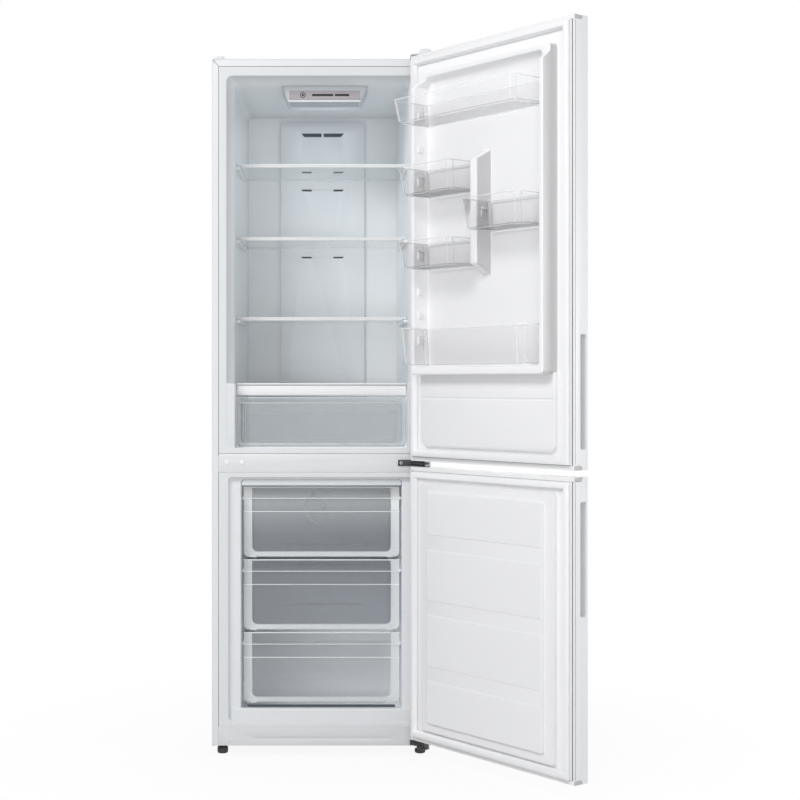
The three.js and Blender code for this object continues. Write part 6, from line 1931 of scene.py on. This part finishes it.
def draw_vent_shadow():
    """Dark plate behind the vents: painted shadow that shows through them."""
    mesh = bmesh.new()
    _, y, z = box_mm("fridge_duct_cover")
    height = z[1] - z[0]
    levels = (z[1] - 0.46 * height, z[1] - 0.035 * height)
    slab(mesh, (-72, 72), levels, (y[0] + 3.4, y[0] + 6.0), 2.0, 0.6, back)
    return mesh


def draw_duct_joint_shadow():
    """Dark ring round the duct's cover, on the wall behind it: painted shadow of the narrow joint."""
    mesh = bmesh.new()
    x, y, z = box_mm("fridge_duct_cover")
    outer, inner = (ring(shrunk(x, by), shrunk(z, by), 14.0) for by in (-2.4, 1.0))
    level = y[1] - 0.8
    border(mesh, outer, inner, (level, y[1]))
    return mesh


GUARD_RINGS = (54.0, 43.0, 32.0, 21.0)
GUARD_WIDTH = 9.4


def draw_fan_guard():
    """Rings in the freezer rear cover's opening, in front of the fan."""
    mesh = bmesh.new()
    _, y, _ = box_mm("evaporator_cover")
    x, _, z = box_mm("evaporator_fan")
    centre = ((x[0] + x[1]) / 2, (z[0] + z[1]) / 2)
    for radius in GUARD_RINGS:
        outer, inner = (circle(centre, size, 48) for size in (radius, radius - GUARD_WIDTH))
        border(mesh, outer, inner, (y[0] + 0.4, y[0] + 2.0))
    return mesh


@made
class FRIDGE_OT_duct(bpy.types.Operator):
    """Air duct's cover in the fridge, and the strip and rear cover in the freezer"""

    bl_idname = "refrigerator.duct"
    bl_label = "Duct covers"

    def execute(self, context):
        for name, node, edge, finish in (
            ("duct_cover", "fridge_duct_cover", 1.6, "duct"),
            ("freezer_strip", "freezer_top_trim", 1.2, "duct"),
            ("coil_cover", "evaporator_cover", 1.0, "coil_cover"),
        ):
            piece = dressed_copy(name, node, edge)
            hand_over(piece, "cabinet", finish, "white_plastic", node)
        for name, mesh, finish in (
            ("vent_lips", draw_vent_lips(), "duct"), ("duct_inside", draw_vent_shadow(), "duct_inside"),
            ("duct_joint_shadow", draw_duct_joint_shadow(), "joint_and_groove_shadow"), ("fan_guard", draw_fan_guard(), "coil_cover"),
        ):
            add(name, mesh, "cabinet", finish, "white_plastic")
        return {"FINISHED"}


@made
class FRIDGE_OT_shelves(bpy.types.Operator):
    """Glass shelves with their trims"""

    bl_idname = "refrigerator.shelves"
    bl_label = "Shelves"

    def execute(self, context):
        for level in ("lower", "middle", "upper"):
            body = level + "_shelf"
            trim, glass = body + "_trim", body + "_glass"
            for name, draw, finish in (
                ("bar", draw_shelf_bar, "trim"), ("strips", draw_shelf_strips, "strip"),
            ):
                add(f"{body}_{name}", draw(trim), body, finish, "white_plastic", trim)
            add(body + "_pane", draw_glass(glass), body, "glass", "shelf_glass", glass)
        return {"FINISHED"}


@made
class FRIDGE_OT_crisper(bpy.types.Operator):
    """Crisper drawer and the glass cover over it"""

    bl_idname = "refrigerator.crisper"
    bl_label = "Crisper"

    def execute(self, context):
        cover = "crisper_cover_glass"
        add("crisper_pane", draw_glass(cover), "cabinet", "glass", "shelf_glass", cover)
        fascia = dressed_copy("crisper_fascia", "crisper_cover_trim", 0.9)
        hand_over(fascia, "cabinet", "shelf_trim", "white_plastic", "crisper_cover_trim")
        for name, mesh, finish in (
            ("crisper_tub", draw_crisper(), "crisper"), ("crisper_face", draw_crisper_front(), "crisper"),
            ("crisper_rims", draw_crisper_rims(), "crisper_rim"),
        ):
            add(name, mesh, "crisper", finish, "clear_plastic", "crisper_drawer")
        return {"FINISHED"}


@made
class FRIDGE_OT_drawers(bpy.types.Operator):
    """Clear freezer drawers"""

    bl_idname = "refrigerator.drawers"
    bl_label = "Freezer drawers"

    def execute(self, context):
        for level in ("lower", "middle", "upper"):
            node, body = level + "_freezer_drawer", level + "_drawer"
            for name, mesh, finish in (
                ("tub", draw_drawer_tub(node), "drawer"), ("face", draw_drawer_front(node), "drawer_face"),
                ("rims", draw_drawer_rims(node), "drawer_rim"),
            ):
                add(f"{body}_{name}", mesh, body, finish, "clear_plastic", node)
        return {"FINISHED"}


@made
class FRIDGE_OT_doors(bpy.types.Operator):
    """Steel skins, end caps, handles, seals and foam of both doors"""

    bl_idname = "refrigerator.doors"
    bl_label = "Doors"

    def execute(self, context):
        for body, door, upper in (
            ("fridge_door", FRIDGE_DOOR, True), ("freezer_door", FREEZER_DOOR, False),
        ):
            sheet = placed(body + "_sheet", draw_door_skin(door), on_door=True)
            carved(sheet, door_cutters(door, upper))
            hand_over(sheet, body, "door_enamel", "case_paint", body + "_skin")
            for end, z, radius in (
                ("bottom", (door[0], door[0] + CAP_HEIGHT), (0.5, 0.5, 0.5, 8.0)),
                ("top", (door[1] - CAP_HEIGHT, door[1]), (8.0, 0.5, 0.5, 0.5)),
            ):
                cap, side = f"{body}_{end}_cap", f"{body}_{end}"
                add(side + "_end", draw_end_cap(z, radius), body, "cap", "grey_plastic", cap)
                add(side + "_end_shades", draw_cap_end_shades(z, radius), body, "pad", "grey_plastic", cap)
            cup = body + "_handle_cup"
            add(body + "_grip", draw_handle_cup(upper), body, "handle", "grey_plastic", cup)
            add(body + "_seal", draw_seal(door), body, "seal", "gasket", body + "_gasket")
            add(body + "_joint_tape_and_shade", draw_joint_tape_and_shade(door), body, "black", "black_plastic")
            add(body + "_edge_lines", draw_edge_shadow_lines(door), body, "joint_and_groove_shadow", "black_plastic")
            keep(body + "_insulation", "foam")
        return {"FINISHED"}


@made
class FRIDGE_OT_door_liners(bpy.types.Operator):
    """Formed inner sides of both doors"""

    bl_idname = "refrigerator.door_liners"
    bl_label = "Door liners"

    def execute(self, context):
        for body, name, draw, finish in (
            ("fridge_door", "form", draw_fridge_door_liner, "door_liner"),
            ("fridge_door", "fin", draw_door_fin, "door_liner"),
            ("fridge_door", "lower_panel", draw_lower_panel, "door_panel"),
            ("fridge_door", "field_panel", draw_door_field, "door_panel"),
            ("fridge_door", "lugs", draw_lugs, "door_liner"),
            ("freezer_door", "form", draw_freezer_door_liner, "door_liner"),
            ("freezer_door", "steps", draw_freezer_door_steps, "door_panel"),
        ):
            add(f"{body}_{name}", draw(), body, finish, "door_liner", body + "_liner")
        return {"FINISHED"}


@made
class FRIDGE_OT_trays(bpy.types.Operator):
    """Clear trays in the fridge's door"""

    bl_idname = "refrigerator.trays"
    bl_label = "Door trays"

    def execute(self, context):
        for node, left, right in TRAYS:
            body = node.replace("_bin", "") + "_tray"
            for name, draw, finish in (
                ("bowl", draw_tray, "tray"), ("rims", draw_tray_rims, "tray_rim"),
                ("floor", draw_tray_floor, "tray_floor"), ("lines", draw_tray_lines, "tray_line"),
            ):
                tray = draw(node, left, right)
                piece = add(f"{body}_{name}", tray, body, finish, "clear_plastic", node)
                piece.visible_shadow = "half" in node  # the wide ones let more light through
        return {"FINISHED"}


@made
class FRIDGE_OT_hinges(bpy.types.Operator):
    """Hinges, their screw and the top hinge's cover"""

    bl_idname = "refrigerator.hinges"
    bl_label = "Hinges"

    def execute(self, context):
        for name, node, finish, slot in (
            ("centre_hinge", "middle_hinge", "black_steel", "black_steel"),
            ("lower_hinge", "bottom_hinge", "black_steel", "black_steel"),
            ("centre_hinge_screw", "middle_hinge_screw", "zinc", "zinc_steel"),
        ):
            hand_over(dressed_copy(name, node, 0.5), "cabinet", finish, slot, node)
        add("upper_hinge", draw_upper_hinge(), "cabinet", "enamel", "zinc_steel", "top_hinge")
        add("screw_recess", draw_screw_recess(), "cabinet", "black_steel", "black_steel")
        add("hinge_cover", draw_hinge_cover(), "cabinet", "trim", "white_plastic", "top_hinge_cover")
        return {"FINISHED"}


@made
class FRIDGE_OT_feet(bpy.types.Operator):
    """Levelling feet and rear rollers"""

    bl_idname = "refrigerator.feet"
    bl_label = "Feet and rollers"

    def execute(self, context):
        for side in ("left", "right"):
            for name, draw, body, node in (
                ("_levelling_foot", draw_foot, "_foot", "_front_foot"),
                ("_wheel", draw_roller, "_roller", "_rear_roller"),
            ):
                node = side + node
                add(side + name, draw(node), side + body, "black", "black_plastic", node)
        return {"FINISHED"}


@made
class FRIDGE_OT_cooling(bpy.types.Operator):
    """Evaporator with its fan, compressor, pipes and tray"""

    bl_idname = "refrigerator.cooling"
    bl_label = "Cooling"

    def execute(self, context):
        x = box_mm("evaporator")[0]
        count = sizes().fins
        fins = placed("coil_fins", draw_fin())
        step = (x[1] - x[0] - FIN) * MM / (count - 1)
        in_a_row(fins, count, (step, 0.0, 0.0), "aluminium")
        hand_over(fins, "cabinet", "aluminium", "aluminium", "evaporator")
        add("coil_tubes", draw_evaporator_tubes(), "cabinet", "aluminium", "aluminium", "evaporator")
        for name, mesh, finish in (
            ("compressor_shell", draw_compressor(), "black_steel"),
            ("compressor_pipes", draw_compressor_pipes(), "copper"),
        ):
            add(name, mesh, "cabinet", finish, "black_steel", "compressor")
        for name, node, body in (
            ("melt_water_tray", "evaporation_tray", "cabinet"),
            ("fan_drive", "fan_motor", "cabinet"),
            ("fan_wheel", "evaporator_fan", "fan"),
        ):
            hand_over(dressed_copy(name, node, 0.6), body, "black", "black_plastic", node)
        return {"FINISHED"}


@made
class FRIDGE_OT_rear(bpy.types.Operator):
    """Back panel, base and the slatted rear cover"""

    bl_idname = "refrigerator.rear"
    bl_label = "Rear"

    def execute(self, context):
        keep("back_panel", "galvanised")
        keep("base_pan", "galvanised")
        cover = "machine_cover"
        add("rear_cover_frame", draw_rear_cover_frame(), "cabinet", "black", "black_plastic", cover)
        z = box_mm(cover)[2]
        count = sizes().slats
        slats = placed("rear_cover_slats", draw_slat())
        pitch = (z[1] - z[0] - LOWEST_SLAT - COVER_RIM) / count
        in_a_row(slats, count, (0.0, 0.0, pitch * MM), "black")
        hand_over(slats, "cabinet", "black", "black_plastic", cover)
        return {"FINISHED"}


FLOOR_REACH = 14.0
FLOOR_LEVEL = -0.0005
FLOOR_MIDDLE = (0.4, 0.1)  # under the object
FLOOR_BOUNCE = 0.64  # what the floor gives back to the object
WHITE = (1.0, 1.0, 1.0, 1.0)
WORLD_COLOUR = (0.985, 0.992, 1.0, 1.0)
WORLD_LIGHT = 0.39
STUDIO_LIGHTS = (  # name, place, target, size in metres, and watts
    ("left", (-1.9, -3.9, 4.1), (0.5, -0.2, 1.1), (2.6, 1.4), 130),
    ("front", (0.6, -5.2, 1.3), (0.3, 0.0, 0.9), (2.2, 1.6), 36),
    ("right", (2.7, -1.5, 1.2), (0.6, -0.4, 1.1), (1.0, 1.0), 16),
    ("behind", (0.6, 4.4, 2.4), (0.3, 0.5, 1.0), (2.4, 2.4), 55),
)
LAMP_COLOUR = (0.86, 0.94, 1.0)
LAMP_POWER = 0.3
CAMERA_PLACE = (0.3032, -4.0698, 1.01155)
CAMERA_LENS = 66.87
CAMERA_SHIFT = (0.0831, -0.0211)


def area_light(name, place, target, size, energy):
    data = bpy.data.lights.new(name, "AREA")
    data.shape = "RECTANGLE"
    data.size, data.size_y = size
    data.energy = energy
    lamp = bpy.data.objects.new(name, data)
    lamp.location = place
    lamp.rotation_euler = (Vector(target) - Vector(place)).to_track_quat("-Z", "Y").to_euler()
    bpy.context.scene.collection.objects.link(lamp)
    return lamp


@made
class FRIDGE_OT_stage(bpy.types.Operator):
    """Floor, light and camera"""

    bl_idname = "refrigerator.stage"
    bl_label = "Stage"

    def execute(self, context):
        scene = context.scene
        mesh = bmesh.new()
        corners = ((-1, -1), (1, -1), (1, 1), (-1, 1))
        mesh.faces.new([
            mesh.verts.new((a * FLOOR_REACH, b * FLOOR_REACH, FLOOR_LEVEL)) for a, b in corners
        ])
        floor = as_object("floor", mesh)
        floor.data.materials.append(studio_floor())

        scene.world = bpy.data.worlds.new("studio")
        scene.world.use_nodes = True
        white_world(scene.world.node_tree)

        lights = {light[0]: area_light(*light) for light in STUDIO_LIGHTS}
        lights["front"].visible_glossy = False
        x, y, z = box_mm("control_panel_lens")
        lamp = SHIFT + Vector(((x[0] + x[1]) / 2, y[1] + 10, z[0] - 6)) * MM
        ahead = lamp + Vector((0.0, 0.35, -0.7))
        inside = area_light("inside", lamp, ahead, (0.17, 0.05), LAMP_POWER)
        inside.data.color = LAMP_COLOUR
        inside.visible_camera = False

        camera_data = bpy.data.cameras.new("photo_view")
        camera_data.sensor_width = 36.0
        camera_data.lens = CAMERA_LENS
        camera_data.shift_x, camera_data.shift_y = CAMERA_SHIFT
        camera_data.dof.use_dof = False
        camera = bpy.data.objects.new("photo_view", camera_data)
        camera.location = CAMERA_PLACE
        camera.rotation_euler = (math.radians(90), 0.0, 0.0)
        scene.collection.objects.link(camera)
        scene.camera = camera
        scene.view_settings.view_transform = "Standard"
        return {"FINISHED"}


def studio_floor():
    """White to the camera and in reflections, darkened near the object by its own shadow."""
    finish = Finish("studio_floor", colours().floor, 0.9)
    x, y = finish.place("X") - FLOOR_MIDDLE[0], finish.place("Y") - FLOOR_MIDDLE[1]
    far = ((x * x + y * y) ** 0.5).over(0.8, 0.9)
    seen = finish.seen_directly()
    bounce = (FLOOR_BOUNCE,) * 3 + (1.0,)
    finish.set("Base Color", finish.mixed(seen, bounce, finish.colour))
    glow = finish.node("ShaderNodeEmission", {}, {"Color": WHITE, "Strength": 1.0})
    lit = Wire(finish, finish.shader.outputs[0])
    surface = finish.node("ShaderNodeMixShader", {}, {0: seen * (far * 0.1 + 0.9), 1: lit, 2: glow})
    out = finish.tree.nodes["Material Output"]
    finish.tree.links.new(surface.socket, out.inputs["Surface"])
    return finish.material


def white_world(tree):
    """Soft even light on the object, and plain white where the camera, gloss or glass sees it."""
    tree.nodes.clear()
    nodes = Nodes(tree)
    soft, white = (
        nodes.node("ShaderNodeBackground", {}, {"Color": colour, "Strength": strength})
        for colour, strength in ((WORLD_COLOUR, WORLD_LIGHT), (WHITE, 1.0))
    )
    mix = nodes.node("ShaderNodeMixShader", {}, {0: nodes.seen_directly(), 1: soft, 2: white})
    nodes.node("ShaderNodeOutputWorld", {}, {"Surface": mix})


class FRIDGE_PT_sidebar(bpy.types.Panel):
    """Lists the pieces and what can be changed"""

    bl_idname = "FRIDGE_PT_sidebar"
    bl_label = "Refrigerator"
    bl_space_type = "VIEW_3D"
    bl_region_type = "UI"
    bl_category = "Refrigerator"

    def draw(self, context):
        scene = context.scene
        for group in (scene.refrigerator_sizes, scene.refrigerator_colours):
            column = self.layout.column(align=True)
            for name in group.__annotations__:
                column.prop(group, name)
        for operator in MADE:
            self.layout.operator(operator.bl_idname)


CLASSES = (RefrigeratorColours, RefrigeratorSizes, *MADE, FRIDGE_PT_sidebar)


def register():
    for each in CLASSES:
        bpy.utils.register_class(each)
    bpy.types.Scene.refrigerator_colours = PointerProperty(type=RefrigeratorColours)
    bpy.types.Scene.refrigerator_sizes = PointerProperty(type=RefrigeratorSizes)


def unregister():
    del bpy.types.Scene.refrigerator_sizes
    del bpy.types.Scene.refrigerator_colours
    for each in reversed(CLASSES):
        bpy.utils.unregister_class(each)


def main():
    register()
    for operator in MADE:
        group, name = operator.bl_idname.split(".")
        getattr(getattr(bpy.ops, group), name)()


if __name__ == "__main__":
    main()
